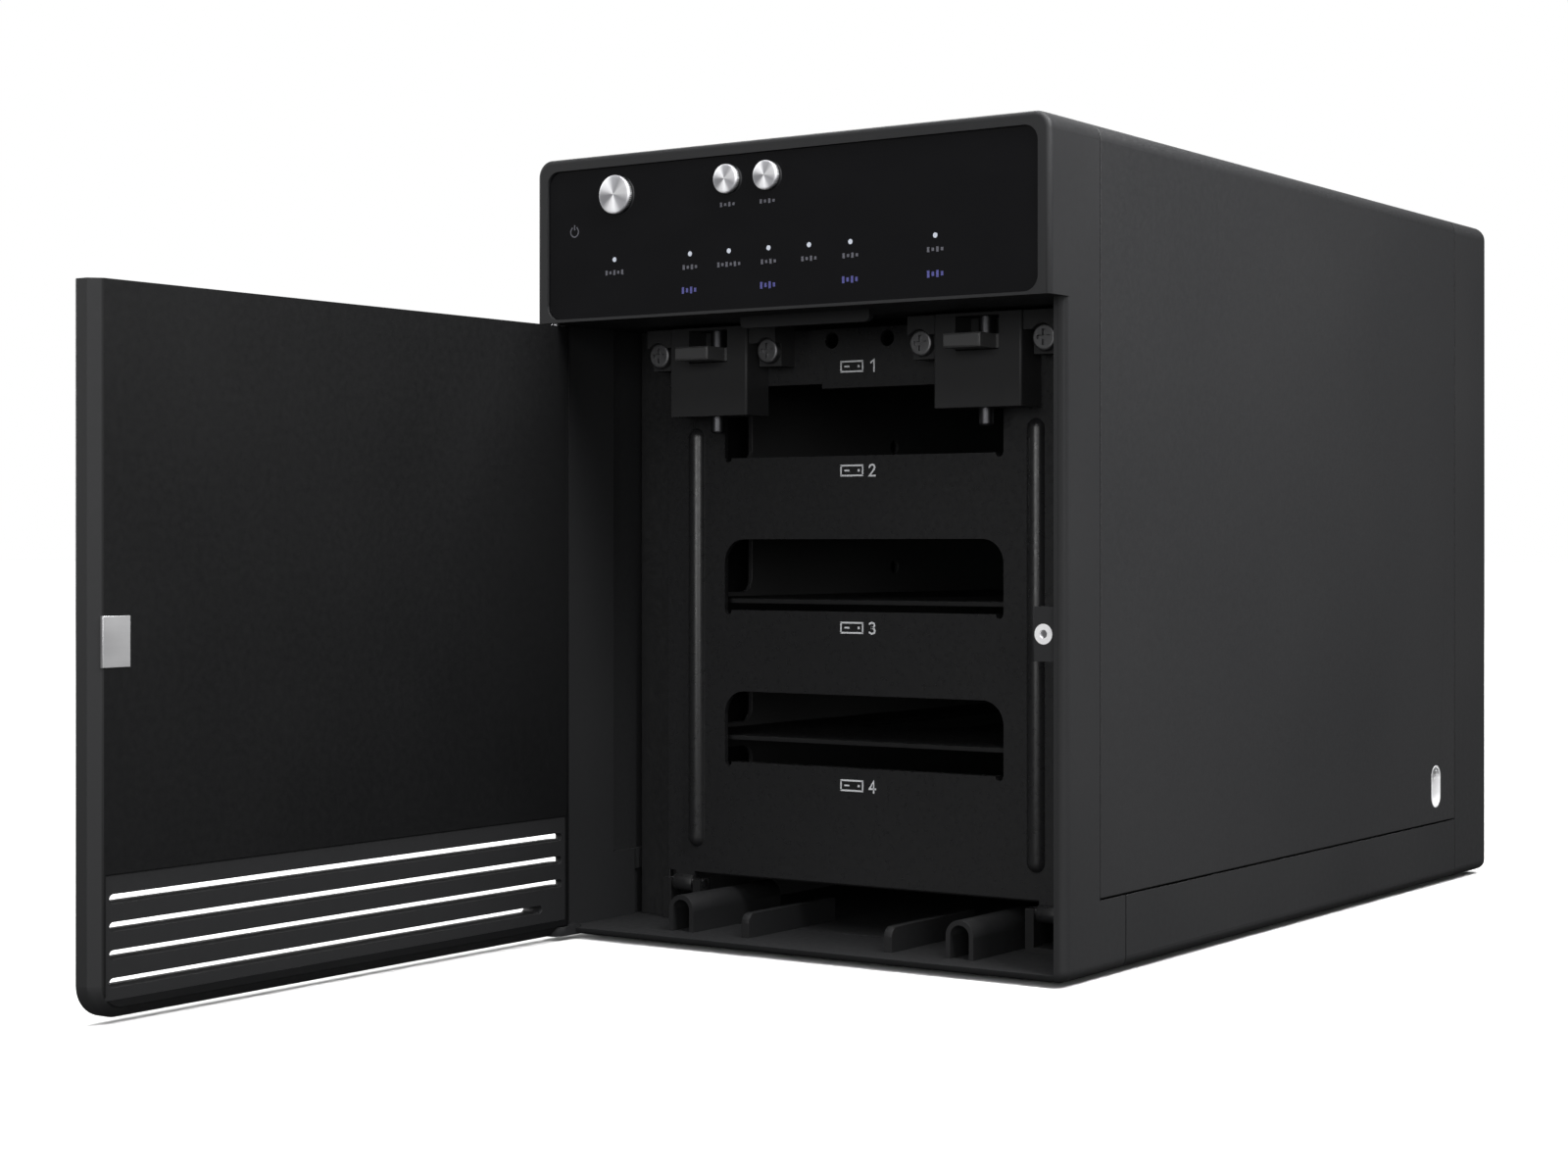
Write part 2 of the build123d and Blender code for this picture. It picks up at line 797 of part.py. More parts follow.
# Base tray: the floor, the lowest strip of each side and the posts of the controller board
tray_front = front + sill_depth + seam_gap
tray_back = rear_seam - seam_gap
feet = [
    (sign_x * foot_x, y) for sign_x in (-1, 1) for y in (front + foot_end_inset, back - foot_end_inset)
]
controller_back = panel_front - controller_gap
posts = [
    (sign_x * post_x, y)
    for sign_x in (-1, 1)
    for y in (controller_front + 2 * post_radius, tray_back - 2 * post_radius)
]
with BuildPart() as base_tray:
    extrude(body_outline(tray_front), amount=-(tray_back - tray_front))
    box_between((-side, tray_front, strip_top), (side, tray_back, height), Mode.SUBTRACT)
    box_between(
        (-side + tray_wall, tray_front, floor_top),
        (side - tray_wall, tray_back, strip_top),
        Mode.SUBTRACT,
    )
    for sign in (-1, 1):
        outer_x = side - cover_sheet
        low_x, high_x = sorted((sign * outer_x, sign * (outer_x - tongue_thickness)))
        box_between(
            (low_x, tray_front + tongue_front_inset, strip_top - tongue_root),
            (high_x, tray_back - tongue_back_inset, strip_top + tongue_reach),
        )
    for post_at_x, post_at_y in posts:
        post(post_at_x, post_at_y, post_radius, floor_top, controller_bottom)
    for foot_at_x, foot_at_y in feet:
        post(
            foot_at_x,
            foot_at_y,
            foot_radius,
            foot_height,
            foot_height + foot_pocket,
            Mode.SUBTRACT,
        )
write(base_tray, "base_tray")

with BuildPart() as rubber_feet:
    for foot_at_x, foot_at_y in feet:
        post(foot_at_x, foot_at_y, foot_radius, 0, foot_height + foot_pocket)
    fillet(rubber_feet.edges().group_by(Axis.Z)[0], foot_height / 3)
write(rubber_feet, "rubber_feet")

# Top cover: one sheet folded over the top and both sides
cover_front = front + bezel_depth + seam_gap
cover_bottom = strip_top + seam_gap
with BuildPart() as top_cover:
    extrude(body_outline(cover_front), amount=-(tray_back - cover_front))
    extrude(
        body_outline(cover_front, cover_sheet),
        amount=-(tray_back - cover_front),
        mode=Mode.SUBTRACT,
    )
    box_between((-side, cover_front, 0), (side, tray_back, cover_bottom), Mode.SUBTRACT)
    with BuildSketch(Plane.YZ.offset(side)) as lock_opening:
        with Locations((lock_y, lock_z)):
            SlotOverall(lock_opening_height, lock_opening_width, rotation=90)
    extrude(amount=-cover_sheet, mode=Mode.SUBTRACT)
write(top_cover, "top_cover")

# Security lock plate behind the oval opening, with a bright liner round its recess
lock_face_x = side - cover_sheet
lock_floor_x = lock_face_x - lock_depth
with BuildPart() as lock_plate:
    plate_x = lock_floor_x - lock_plate_thickness
    with BuildSketch(Plane.YZ.offset(plate_x)) as lock_back:
        with Locations((lock_y, lock_z)):
            RectangleRounded(lock_plate_width, lock_plate_height, 1.0)
    extrude(amount=lock_face_x - plate_x)
    with BuildSketch(Plane.YZ.offset(lock_floor_x)) as lock_recess:
        with Locations((lock_y, lock_z)):
            SlotOverall(lock_opening_height, lock_opening_width, rotation=90)
    extrude(amount=lock_depth, mode=Mode.SUBTRACT)
    with BuildSketch(Plane.YZ.offset(plate_x)) as lock_slot:
        with Locations((lock_y, lock_z)):
            SlotOverall(lock_slot_height, lock_slot_width, rotation=90)
    extrude(amount=lock_plate_thickness, mode=Mode.SUBTRACT)
write(lock_plate, "lock_plate")

with BuildPart() as lock_liner:
    liner_out = 2 * light_gap
    liner_in = liner_out + 2 * lock_liner_wall
    with BuildSketch(Plane.YZ.offset(lock_floor_x)) as liner:
        with Locations((lock_y, lock_z)):
            SlotOverall(
                lock_opening_height - liner_out, lock_opening_width - liner_out, rotation=90
            )
            SlotOverall(
                lock_opening_height - liner_in,
                lock_opening_width - liner_in,
                rotation=90,
                mode=Mode.SUBTRACT,
            )
    extrude(amount=side - lock_liner_setback - lock_floor_x)
write(lock_liner, "lock_liner")

# Drive cage: two sides with front flanges, a shelf under each bay, and a top plate
bay_floors = [bay_floor + row * bay_pitch for row in range(bay_count)]
for cage_name, sign in (("cage_side_left", -1), ("cage_side_right", 1)):
    with BuildPart() as cage_side:
        near, far = sorted((sign * cage_side_x, sign * (cage_side_x + cage_sheet)))
        box_between((near, cage_front, floor_top), (far, cage_back, block_underside))
        near, far = sorted((sign * cage_side_x, sign * flange_end))
        box_between((near, cage_front, floor_top), (far, shelf_front, block_underside))
        with BuildSketch(Plane.YZ.offset(sign * cage_side_x)) as openings:
            cutout_y = shelf_front + cutout_setback + cutout_length / 2
            for floor_z in bay_floors:
                with Locations((cutout_y, floor_z + cutout_lift + cutout_height / 2)):
                    RectangleRounded(cutout_length, cutout_height, cutout_corner)
                with Locations((shelf_front + rail_hole_back, floor_z + rail_hole_height)):
                    Circle(rail_hole_radius)
        extrude(amount=sign * cage_sheet, mode=Mode.SUBTRACT)
    write(cage_side, cage_name)

for row, floor_z in enumerate(bay_floors):
    with BuildPart() as drive_shelf:
        box_between(
            (-cage_side_x, shelf_front, floor_z - shelf_sheet),
            (cage_side_x, shelf_front + bay_depth, floor_z),
        )
        with BuildSketch(Plane.XY.offset(floor_z)) as shelf_slots:
            slot_y = shelf_front + bay_depth / 2 + shelf_slot_setback
            with Locations((-shelf_slot_x, slot_y), (shelf_slot_x, slot_y)):
                SlotOverall(shelf_slot_length, shelf_slot_width, rotation=90)
        extrude(amount=-shelf_sheet, mode=Mode.SUBTRACT)
    write(drive_shelf, f"drive_shelf_{bay_count - row}")

with BuildPart() as cage_top:
    box_between(
        (-flange_end, cover_front, block_underside),
        (flange_end, cage_back, block_underside + cage_sheet),
    )
    for sign in (-1, 1):
        post(
            sign * latch_x,
            bolt_y,
            bolt_radius + bolt_hole_gap,
            block_underside,
            block_underside + cage_sheet,
            Mode.SUBTRACT,
        )
write(cage_top, "cage_top")

# Backplane with a socket for each drive
with BuildPart() as backplane_board:
    box_between(
        (-backplane_half_width, cage_back, backplane_bottom),
        (backplane_half_width, cage_back + board_thickness, backplane_top),
    )
    with BuildSketch(facing(cage_back)) as air_slots:
        for floor_z in bay_floors:
            with Locations((0, floor_z + (bay_pitch + socket_height) / 2 + backplane_slot_lift)):
                SlotOverall(backplane_slot_length, backplane_slot_height)
    extrude(amount=-board_thickness, mode=Mode.SUBTRACT)
write(backplane_board, "backplane_board")

with BuildPart() as sata_sockets:
    for floor_z in bay_floors:
        box_between(
            (-socket_width / 2, cage_back - socket_depth, floor_z + socket_lift),
            (socket_width / 2, cage_back, floor_z + socket_lift + socket_height),
        )
        box_between(
            (
                -socket_width / 2 + socket_side_wall,
                cage_back - socket_depth,
                floor_z + socket_lift + socket_under_wall,
            ),
            (
                socket_width / 2 - socket_side_wall,
                cage_back - socket_depth + socket_mouth_depth,
                floor_z + socket_lift + socket_height - socket_over_wall,
            ),
            Mode.SUBTRACT,
        )
write(sata_sockets, "sata_sockets")

# Drive cover: a sheet with three windows, two embossed ribs and a knuckle at each trunnion
window_tops = [window_first_top - row * window_pitch for row in range(3)]
plate_back = plate_front + plate_sheet
with BuildPart() as drive_cover:
    extrude(
        plate_rectangle(plate_front, plate_half_width, plate_bottom, plate_top, plate_corner),
        amount=-plate_sheet,
    )
    with BuildSketch(facing(plate_front)) as plate_cuts:
        for window_head in window_tops:
            with Locations((0, window_head - window_round)):
                RectangleRounded(2 * window_half_width, 2 * window_round, window_round - 0.01)
            with Locations((0, window_head - window_round)):
                Rectangle(
                    2 * window_half_width,
                    window_height - window_round,
                    align=(Align.CENTER, Align.MAX),
                )
            sill_z = window_head - window_height
            with Locations((-window_half_width + 1, sill_z), (window_half_width - 1, sill_z)):
                Circle(relief_radius)
        with Locations(
            (-crossbar_hole_x, crossbar_hole_z),
            (crossbar_hole_x, crossbar_hole_z),
        ):
            Circle(crossbar_hole_radius)
        for sign_x in (-1, 1):
            for sign_ear in (-1, 1):
                with Locations((sign_x * latch_x + sign_ear * ear_spacing, latch_screw_z)):
                    Circle(latch_screw_radius)
    extrude(amount=-plate_sheet, mode=Mode.SUBTRACT)
    lip_half_width = window_half_width - window_lip_end
    for window_head in window_tops:
        sill_z = window_head - window_height
        box_between(
            (-lip_half_width, plate_front, sill_z - plate_sheet),
            (lip_half_width, plate_back + window_lip, sill_z),
        )
    band_bottom = window_tops[0] - band_lip_height
    box_between(
        (band_lip_left, plate_front, band_bottom),
        (window_half_width - window_round, plate_back + window_lip, window_tops[0]),
    )
    emboss_y = plate_front + emboss_radius - emboss_proud
    for sign in (-1, 1):
        post(sign * rib_line_x, emboss_y, emboss_radius, emboss_bottom, emboss_top)
        with Locations(
            (sign * rib_line_x, emboss_y, emboss_bottom),
            (sign * rib_line_x, emboss_y, emboss_top),
        ):
            Sphere(emboss_radius)
        box_between(
            (sign * rib_line_x - 2 * emboss_radius, plate_back, emboss_bottom - emboss_hollow),
            (
                sign * rib_line_x + 2 * emboss_radius,
                plate_back + 2 * emboss_radius,
                emboss_top + emboss_hollow,
            ),
            Mode.SUBTRACT,
        )
        knuckle_x = sign * trunnion_x - knuckle_length / 2
        box_between(
            (knuckle_x, plate_front, pivot_z),
            (knuckle_x + knuckle_length, plate_back, plate_bottom + plate_corner),
        )
        cross_bar(knuckle_x, knuckle_x + knuckle_length, pivot_y, pivot_z, knuckle_radius)
        cross_bar(
            knuckle_x,
            knuckle_x + knuckle_length,
            pivot_y,
            pivot_z,
            trunnion_radius,
            Mode.SUBTRACT,
        )
write(drive_cover, "drive_cover")

with BuildPart() as cover_trunnions:
    for sign in (-1, 1):
        pin_x = sign * trunnion_x
        cross_bar(
            pin_x - pin_half_length, pin_x + pin_half_length, pivot_y, pivot_z, trunnion_radius
        )
write(cover_trunnions, "cover_trunnions")

with BuildPart() as cover_brackets:
    bracket_front = pivot_y - bracket_half_depth
    bracket_back = pivot_y + bracket_half_depth
    for sign in (-1, 1):
        pin_x = sign * trunnion_x
        box_between(
            (pin_x - pin_half_length, bracket_front, floor_top),
            (pin_x + pin_half_length, bracket_back, floor_top + bracket_base),
        )
        for cheek_x in (pin_x - pin_half_length, pin_x + pin_half_length - cheek_thickness):
            box_between(
                (cheek_x, bracket_front, floor_top),
                (cheek_x + cheek_thickness, bracket_back, bracket_top),
            )
            notch = trunnion_radius + running_gap
            cross_bar(cheek_x, cheek_x + cheek_thickness, pivot_y, pivot_z, notch, Mode.SUBTRACT)
            box_between(
                (cheek_x, pivot_y - notch, pivot_z),
                (cheek_x + cheek_thickness, pivot_y + notch, bracket_top),
                Mode.SUBTRACT,
            )
write(cover_brackets, "cover_brackets")

# Latches: a T-shaped housing, a thumb tab that slides up in it, and the bolt that it carries
for hand, sign in (("left", -1), ("right", 1)):
    centre = sign * latch_x
    with BuildPart() as latch_housing:
        box_between(
            (centre - latch_half_width, latch_front, latch_bottom),
            (centre + latch_half_width, plate_front, latch_top),
        )
        block_edges = latch_housing.edges().filter_by(Axis.Z).group_by(Axis.Y)[0]
        fillet(block_edges, tab_edge)
        box_between(
            (centre - wing_half_width, latch_front + wing_setback, wing_bottom),
            (centre + wing_half_width, plate_front, latch_top),
        )
        for sign_ear in (-1, 1):
            ear_x = centre + sign_ear * ear_spacing
            outer = min(ear_half_width, wing_half_width - ear_spacing)
            low_x, high_x = sorted((ear_x - sign_ear * ear_half_width, ear_x + sign_ear * outer))
            box_between(
                (low_x, latch_front + ear_setback, ear_bottom),
                (high_x, plate_front, wing_bottom),
            )
            rod(
                ear_x,
                latch_screw_z,
                latch_screw_radius + latch_screw_gap,
                latch_front + ear_setback,
                plate_front,
                Mode.SUBTRACT,
            )
            rod(
                ear_x,
                latch_screw_z,
                latch_screw_head + latch_screw_gap,
                latch_front,
                latch_front + ear_setback,
                Mode.SUBTRACT,
            )
        box_between(
            (centre - pocket_half_width, latch_front, pocket_bottom),
            (centre + pocket_half_width, latch_front + pocket_depth, pocket_top),
            Mode.SUBTRACT,
        )
        post(
            centre, bolt_y, bolt_radius + running_gap, latch_bottom, latch_top, Mode.SUBTRACT
        )
    write(latch_housing, f"latch_housing_{hand}")

    with BuildPart() as latch_tab:
        tab_bottom = pocket_bottom + tab_gap
        box_between(
            (centre - tab_half_width, latch_front - tab_proud, tab_bottom),
            (centre + tab_half_width, latch_front + tab_gap, tab_bottom + tab_height),
        )
        fillet(latch_tab.edges().group_by(Axis.Y)[0], tab_edge)
        box_between(
            (centre - pocket_half_width + tab_gap, latch_front + tab_gap, tab_bottom),
            (
                centre + pocket_half_width - tab_gap,
                latch_front + pocket_depth - tab_gap,
                tab_bottom + tab_height,
            ),
        )
        post(centre, bolt_y, bolt_radius, tab_bottom, tab_bottom + tab_height, Mode.SUBTRACT)
    write(latch_tab, f"latch_tab_{hand}")

    with BuildPart() as latch_bolt:
        post(centre, bolt_y, bolt_radius, bolt_bottom, bolt_top)
        fillet(latch_bolt.edges().group_by(Axis.Z)[0], bolt_radius / 3)
        chamfer(latch_bolt.edges().group_by(Axis.Z)[-1], bolt_radius / 4)
    write(latch_bolt, f"latch_bolt_{hand}")

with BuildPart() as latch_screws:
    head_back = latch_front + ear_setback
    for sign_x in (-1, 1):
        for sign_ear in (-1, 1):
            screw_x = sign_x * latch_x + sign_ear * ear_spacing
            head_front = head_back - latch_screw_head_height
            rod(screw_x, latch_screw_z, latch_screw_head, head_front, head_back)
            rod(screw_x, latch_screw_z, latch_screw_radius, head_back, plate_back + seam_gap / 2)
            cross_cut(screw_x, head_front, latch_screw_z, cross_length, cross_width, latch_cross_depth)
    fillet(
        latch_screws.edges().group_by(Axis.Y)[0].filter_by(GeomType.CIRCLE).filter_by(
            lambda edge: edge.radius > latch_screw_radius
        ),
        0.5,
    )
write(latch_screws, "latch_screws")

# Rear frame: the band behind the rear seam, with a lip that holds the rear panel
panel_screw_rows = (foot_height + rear_wall + panel_screw_inset, height - rear_wall - panel_screw_inset)
panel_screws_at = [(sign * panel_screw_x, z) for sign in (-1, 1) for z in panel_screw_rows]
with BuildPart() as rear_frame:
    extrude(body_outline(rear_seam), amount=-rear_band)
    fillet(rear_frame.edges().group_by(Axis.Y)[-1], rear_edge)
    extrude(
        body_outline(rear_seam, rear_wall),
        amount=-(panel_back - rear_seam),
        mode=Mode.SUBTRACT,
    )
    extrude(body_outline(rear_seam, rear_wall + rear_lip), amount=-rear_band, mode=Mode.SUBTRACT)
    with BuildSketch(facing(rear_seam - seam_tongue)) as rear_tongue:
        add(upper_ring(cover_sheet, rear_wall))
    extrude(amount=-(seam_tongue + seam_root))
    for screw_x, screw_z in panel_screws_at:
        boss_low_y = panel_front - panel_boss_depth
        rod(screw_x, screw_z, panel_boss_radius, boss_low_y, panel_front)
        low_x, high_x = sorted((screw_x, (side - rear_wall / 2) * (1 if screw_x > 0 else -1)))
        box_between(
            (low_x, boss_low_y, screw_z - panel_boss_web / 2),
            (high_x, panel_front, screw_z + panel_boss_web / 2),
        )
        rod(screw_x, screw_z, panel_screw_radius, boss_low_y, panel_front, Mode.SUBTRACT)
write(rear_frame, "rear_frame")

# Rear panel: fan grille slots and the openings of the sockets
controller_top = controller_bottom + board_thickness
with BuildPart() as rear_panel:
    extrude(body_outline(panel_front, rear_wall + panel_gap), amount=-panel_sheet)
    with BuildSketch(facing(panel_front)) as panel_cuts:
        with Locations((0, fan_z)):
            for ring_radius in grille_rings:
                add(grille_ring(ring_radius))
            with GridLocations(fan_screw_spacing, fan_screw_spacing, 2, 2):
                Circle(fan_screw_hole)
        with Locations((usb_x, controller_top + usb_height / 2)):
            Rectangle(usb_width + 2 * socket_clearance, usb_height + 2 * socket_clearance)
        with Locations((esata_x, controller_top + esata_height / 2)):
            Rectangle(esata_width + 2 * socket_clearance, esata_height + 2 * socket_clearance)
        with Locations((jack_x, controller_top + jack_height / 2)):
            Rectangle(jack_width + 2 * socket_clearance, jack_height + 2 * socket_clearance)
        with Locations(*panel_screws_at):
            Circle(panel_screw_radius)
    extrude(amount=-panel_sheet, mode=Mode.SUBTRACT)
write(rear_panel, "rear_panel")

with BuildPart() as panel_screws:
    for screw_x, screw_z in panel_screws_at:
        rod(
            screw_x, screw_z, panel_screw_radius, panel_front - panel_boss_depth + 1, panel_back
        )
        rod(screw_x, screw_z, panel_screw_head, panel_back, panel_back + panel_screw_head_height)
        head_y = panel_back + panel_screw_head_height
        cross_cut(screw_x, head_y, screw_z, cross_length, cross_width, panel_cross_depth)
write(panel_screws, "panel_screws")

# Fan: frame with motor base and struts, and the rotor in it
fan_front = panel_front - fan_depth
with BuildPart() as fan_frame:
    extrude(
        plate_rectangle(fan_front, fan_size / 2, fan_z - fan_size / 2, fan_z + fan_size / 2, fan_corner),
        amount=-fan_depth,
    )
    rod(0, fan_z, fan_bore_radius, fan_front, panel_front, Mode.SUBTRACT)
    with BuildSketch(facing(fan_front)) as fan_holes:
        with Locations((0, fan_z)):
            with GridLocations(fan_screw_spacing, fan_screw_spacing, 2, 2):
                Circle(fan_screw_hole)
    extrude(amount=-fan_depth, mode=Mode.SUBTRACT)
    rod(0, fan_z, fan_base_radius, panel_front - fan_base_depth, panel_front)
    with BuildSketch(facing(panel_front)) as struts:
        with Locations((0, fan_z)):
            with PolarLocations((fan_base_radius + fan_bore_radius) / 2, 4, start_angle=45):
                Rectangle(fan_bore_radius - fan_base_radius + 2, fan_strut_width)
    extrude(amount=fan_strut_depth)
    rod(
        0,
        fan_z,
        shaft_radius + running_gap,
        panel_front - fan_base_depth,
        panel_front - fan_base_depth + shaft_length + running_gap,
        Mode.SUBTRACT,
    )
write(fan_frame, "fan_frame")

with BuildPart() as fan_rotor:
    hub_front = fan_front + hub_setback
    hub_back = panel_front - fan_base_depth - hub_gap
    blade_y = (hub_front + hub_back) / 2
    for blade in range(blade_count):
        turn = Location((0, blade_y, fan_z), (0, blade * 360 / blade_count, 0))
        with Locations(turn * Location((hub_radius - 1, 0, 0), (blade_pitch, 0, 0))):
            Box(
                blade_tip_radius - hub_radius + 3,
                blade_chord,
                blade_thickness,
                align=(Align.MIN, Align.CENTER, Align.CENTER),
            )
    rod(0, fan_z, blade_tip_radius, hub_front, hub_back, Mode.INTERSECT)
    rod(0, fan_z, hub_radius, hub_front, hub_back)
    fillet(
        fan_rotor.edges().filter_by(GeomType.CIRCLE).group_by(Axis.Y)[0].sort_by(SortBy.RADIUS)[-1],
        bezel_edge,
    )
    rod(0, fan_z, shaft_radius, hub_back, panel_front - fan_base_depth + shaft_length)
write(fan_rotor, "fan_rotor")

half_screws = fan_screw_spacing / 2
with BuildPart() as fan_screws:
    for sign_x in (-1, 1):
        for sign_z in (-1, 1):
            screw_x = sign_x * half_screws
            screw_z = fan_z + sign_z * half_screws
            rod(screw_x, screw_z, fan_screw_radius, panel_back - fan_screw_length, panel_back)
            rod(screw_x, screw_z, fan_screw_head, panel_back, panel_back + fan_screw_head_height)
            head_y = panel_back + fan_screw_head_height
            cross_cut(screw_x, head_y, screw_z, fan_cross_length, fan_cross_width, fan_cross_depth)
write(fan_screws, "fan_screws")

# Controller board and the sockets that look out of the rear panel
with BuildPart() as controller_board:
    box_between(
        (-controller_half_width, controller_front, controller_bottom),
        (controller_half_width, controller_back, controller_top),
    )
write(controller_board, "controller_board")

socket_back = panel_back + socket_proud
with BuildPart() as usb_port:
    box_between(
        (usb_x - usb_width / 2, socket_back - usb_depth, controller_top),
        (usb_x + usb_width / 2, socket_back, controller_top + usb_height),
    )
    box_between(
        (usb_x - usb_width / 2 + usb_wall, socket_back - usb_depth + port_floor, controller_top + usb_wall),
        (
            usb_x + usb_width / 2 - usb_wall,
            socket_back,
            controller_top + usb_height - usb_wall,
        ),
        Mode.SUBTRACT,
    )
    chamfer_line = usb_port.edges().filter_by(Axis.Y).group_by(Axis.Z)[-1]
    chamfer(chamfer_line, usb_wall * 1.5)
    box_between(
        (
            usb_x - usb_tongue_half_width,
            socket_back - usb_depth + port_tongue_root,
            controller_top + usb_tongue_low,
        ),
        (
            usb_x + usb_tongue_half_width,
            socket_back - port_tongue_setback,
            controller_top + usb_tongue_high,
        ),
    )
write(usb_port, "usb_port")

with BuildPart() as esata_port:
    box_between(
        (esata_x - esata_width / 2, socket_back - esata_depth, controller_top),
        (esata_x + esata_width / 2, socket_back, controller_top + esata_height),
    )
    box_between(
        (
            esata_x - esata_width / 2 + esata_wall,
            socket_back - esata_depth + port_floor,
            controller_top + esata_wall,
        ),
        (
            esata_x + esata_width / 2 - esata_wall,
            socket_back,
            controller_top + esata_height - esata_wall,
        ),
        Mode.SUBTRACT,
    )
    box_between(
        (
            esata_x - esata_tongue_half_width,
            socket_back - esata_depth + port_tongue_root,
            controller_top + esata_tongue_low,
        ),
        (
            esata_x + esata_tongue_half_width,
            socket_back - port_tongue_setback,
            controller_top + esata_tongue_high,
        ),
    )
write(esata_port, "esata_port")

jack_z = controller_top + jack_height / 2
with BuildPart() as power_jack:
    box_between(
        (jack_x - jack_width / 2, socket_back - jack_depth, controller_top),
        (jack_x + jack_width / 2, socket_back, controller_top + jack_height),
    )
    jack_floor_y = socket_back - jack_depth + port_floor
    rod(jack_x, jack_z, jack_bore_radius, jack_floor_y, socket_back, Mode.SUBTRACT)
    pin_root_y = socket_back - jack_depth + port_tongue_root
    rod(jack_x, jack_z, jack_pin_radius, pin_root_y, socket_back - port_tongue_setback)
write(power_jack, "power_jack")

# Flat ribbon cable from the front board, over the cage and down to the backplane
cable_z = block_underside + cage_sheet + cable_clear
cable_front_y = board_front + board_thickness
cable_start_z = board_bottom + cable_start_height
cable_end_z = backplane_top - cable_end_drop
cable_back_y = cage_back + board_thickness + cable_bend
with BuildPart() as front_cable:
    with BuildSketch(Plane.YZ) as ribbon:
        with BuildLine() as run:
            FilletPolyline(
                (cable_front_y, cable_start_z),
                (cable_front_y + 3 * cable_bend, cable_start_z),
                (cable_front_y + 3 * cable_bend, cable_z),
                (cable_back_y, cable_z),
                (cable_back_y, cable_end_z),
                (cage_back + board_thickness, cable_end_z),
                radius=cable_bend * 0.9,
            )
        trace(run.line, cable_thickness)
    extrude(amount=cable_width / 2, both=True)
write(front_cable, "front_cable")
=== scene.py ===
"""Four-bay drive enclosure: finishes, printed marks, floor, lights and camera."""

import math

import bmesh
import bpy
from mathutils import Matrix, Vector


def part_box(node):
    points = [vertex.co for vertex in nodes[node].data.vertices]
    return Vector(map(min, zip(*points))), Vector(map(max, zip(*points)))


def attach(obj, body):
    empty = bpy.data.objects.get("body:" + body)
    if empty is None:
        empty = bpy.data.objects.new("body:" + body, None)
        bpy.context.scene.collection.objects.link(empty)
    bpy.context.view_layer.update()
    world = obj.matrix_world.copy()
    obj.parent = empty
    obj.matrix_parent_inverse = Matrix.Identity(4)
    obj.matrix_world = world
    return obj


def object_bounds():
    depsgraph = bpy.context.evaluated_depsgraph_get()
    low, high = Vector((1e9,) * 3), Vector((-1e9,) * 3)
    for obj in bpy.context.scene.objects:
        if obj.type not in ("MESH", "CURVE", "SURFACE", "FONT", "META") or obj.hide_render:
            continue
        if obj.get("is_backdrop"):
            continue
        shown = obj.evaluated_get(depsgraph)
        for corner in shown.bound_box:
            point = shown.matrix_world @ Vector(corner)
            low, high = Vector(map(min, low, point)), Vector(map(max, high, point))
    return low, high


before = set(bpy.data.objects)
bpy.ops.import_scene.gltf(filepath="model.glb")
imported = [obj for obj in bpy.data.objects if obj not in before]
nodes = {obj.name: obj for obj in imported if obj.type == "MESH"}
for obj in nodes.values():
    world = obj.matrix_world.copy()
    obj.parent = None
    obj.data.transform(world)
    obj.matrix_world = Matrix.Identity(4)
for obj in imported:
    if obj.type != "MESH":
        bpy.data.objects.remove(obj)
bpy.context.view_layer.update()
MM = 0.001
ROOM_FILL = 0.12
# how thick a printed mark is, and how far it stands in front of what it is printed on
INK_THICK = 0.00003
INK_LIFT = 0.00002


# ---------------------------------------------------------------- materials
class Tree:
    """A short way to build a node tree on a new material."""

    def __init__(self, name):
        self.material = bpy.data.materials.new(name)
        self.material.use_nodes = True
        self.nodes = self.material.node_tree.nodes
        self.links = self.material.node_tree.links
        self.shader = self.nodes["Principled BSDF"]

    def add(self, kind, **inputs):
        node = self.nodes.new(kind)
        for key, value in inputs.items():
            if hasattr(node, key):
                setattr(node, key, value)
            else:
                node.inputs[key.replace("_", " ")].default_value = value
        return node

    def link(self, source, target):
        self.links.new(source, target)

    def place(self):
        return self.add("ShaderNodeTexCoord").outputs["Object"]

    def noise(self, scale, detail=3.0, roughness=0.55, stretch=None):
        node = self.add("ShaderNodeTexNoise", Scale=scale, Detail=detail, Roughness=roughness)
        source = self.place()
        if stretch:
            mapping = self.add("ShaderNodeMapping")
            mapping.inputs["Scale"].default_value = stretch
            self.link(source, mapping.inputs["Vector"])
            source = mapping.outputs["Vector"]
        self.link(source, node.inputs["Vector"])
        return node.outputs["Fac"]

    def remap(self, source, low, high, to_low, to_high):
        node = self.add("ShaderNodeMapRange")
        ends = {"From Min": low, "From Max": high, "To Min": to_low, "To Max": to_high}
        for key, value in ends.items():
            node.inputs[key].default_value = value
        self.link(source, node.inputs["Value"])
        return node.outputs["Result"]

    def blend(self, factor, dark, light):
        node = self.add("ShaderNodeMix", data_type="RGBA")
        node.inputs["A"].default_value = (*dark, 1)
        node.inputs["B"].default_value = (*light, 1)
        self.link(factor, node.inputs["Factor"])
        return node.outputs["Result"]

    def math(self, operation, a, b):
        node = self.add("ShaderNodeMath", operation=operation)
        for index, value in enumerate((a, b)):
            if isinstance(value, (int, float)):
                node.inputs[index].default_value = value
            else:
                self.link(value, node.inputs[index])
        return node.outputs["Value"]

    def bump(self, height, strength, distance, under=None):
        node = self.add("ShaderNodeBump", Strength=strength, Distance=distance)
        self.link(height, node.inputs["Height"])
        if under is not None:
            self.link(under, node.inputs["Normal"])
        return node.outputs["Normal"]


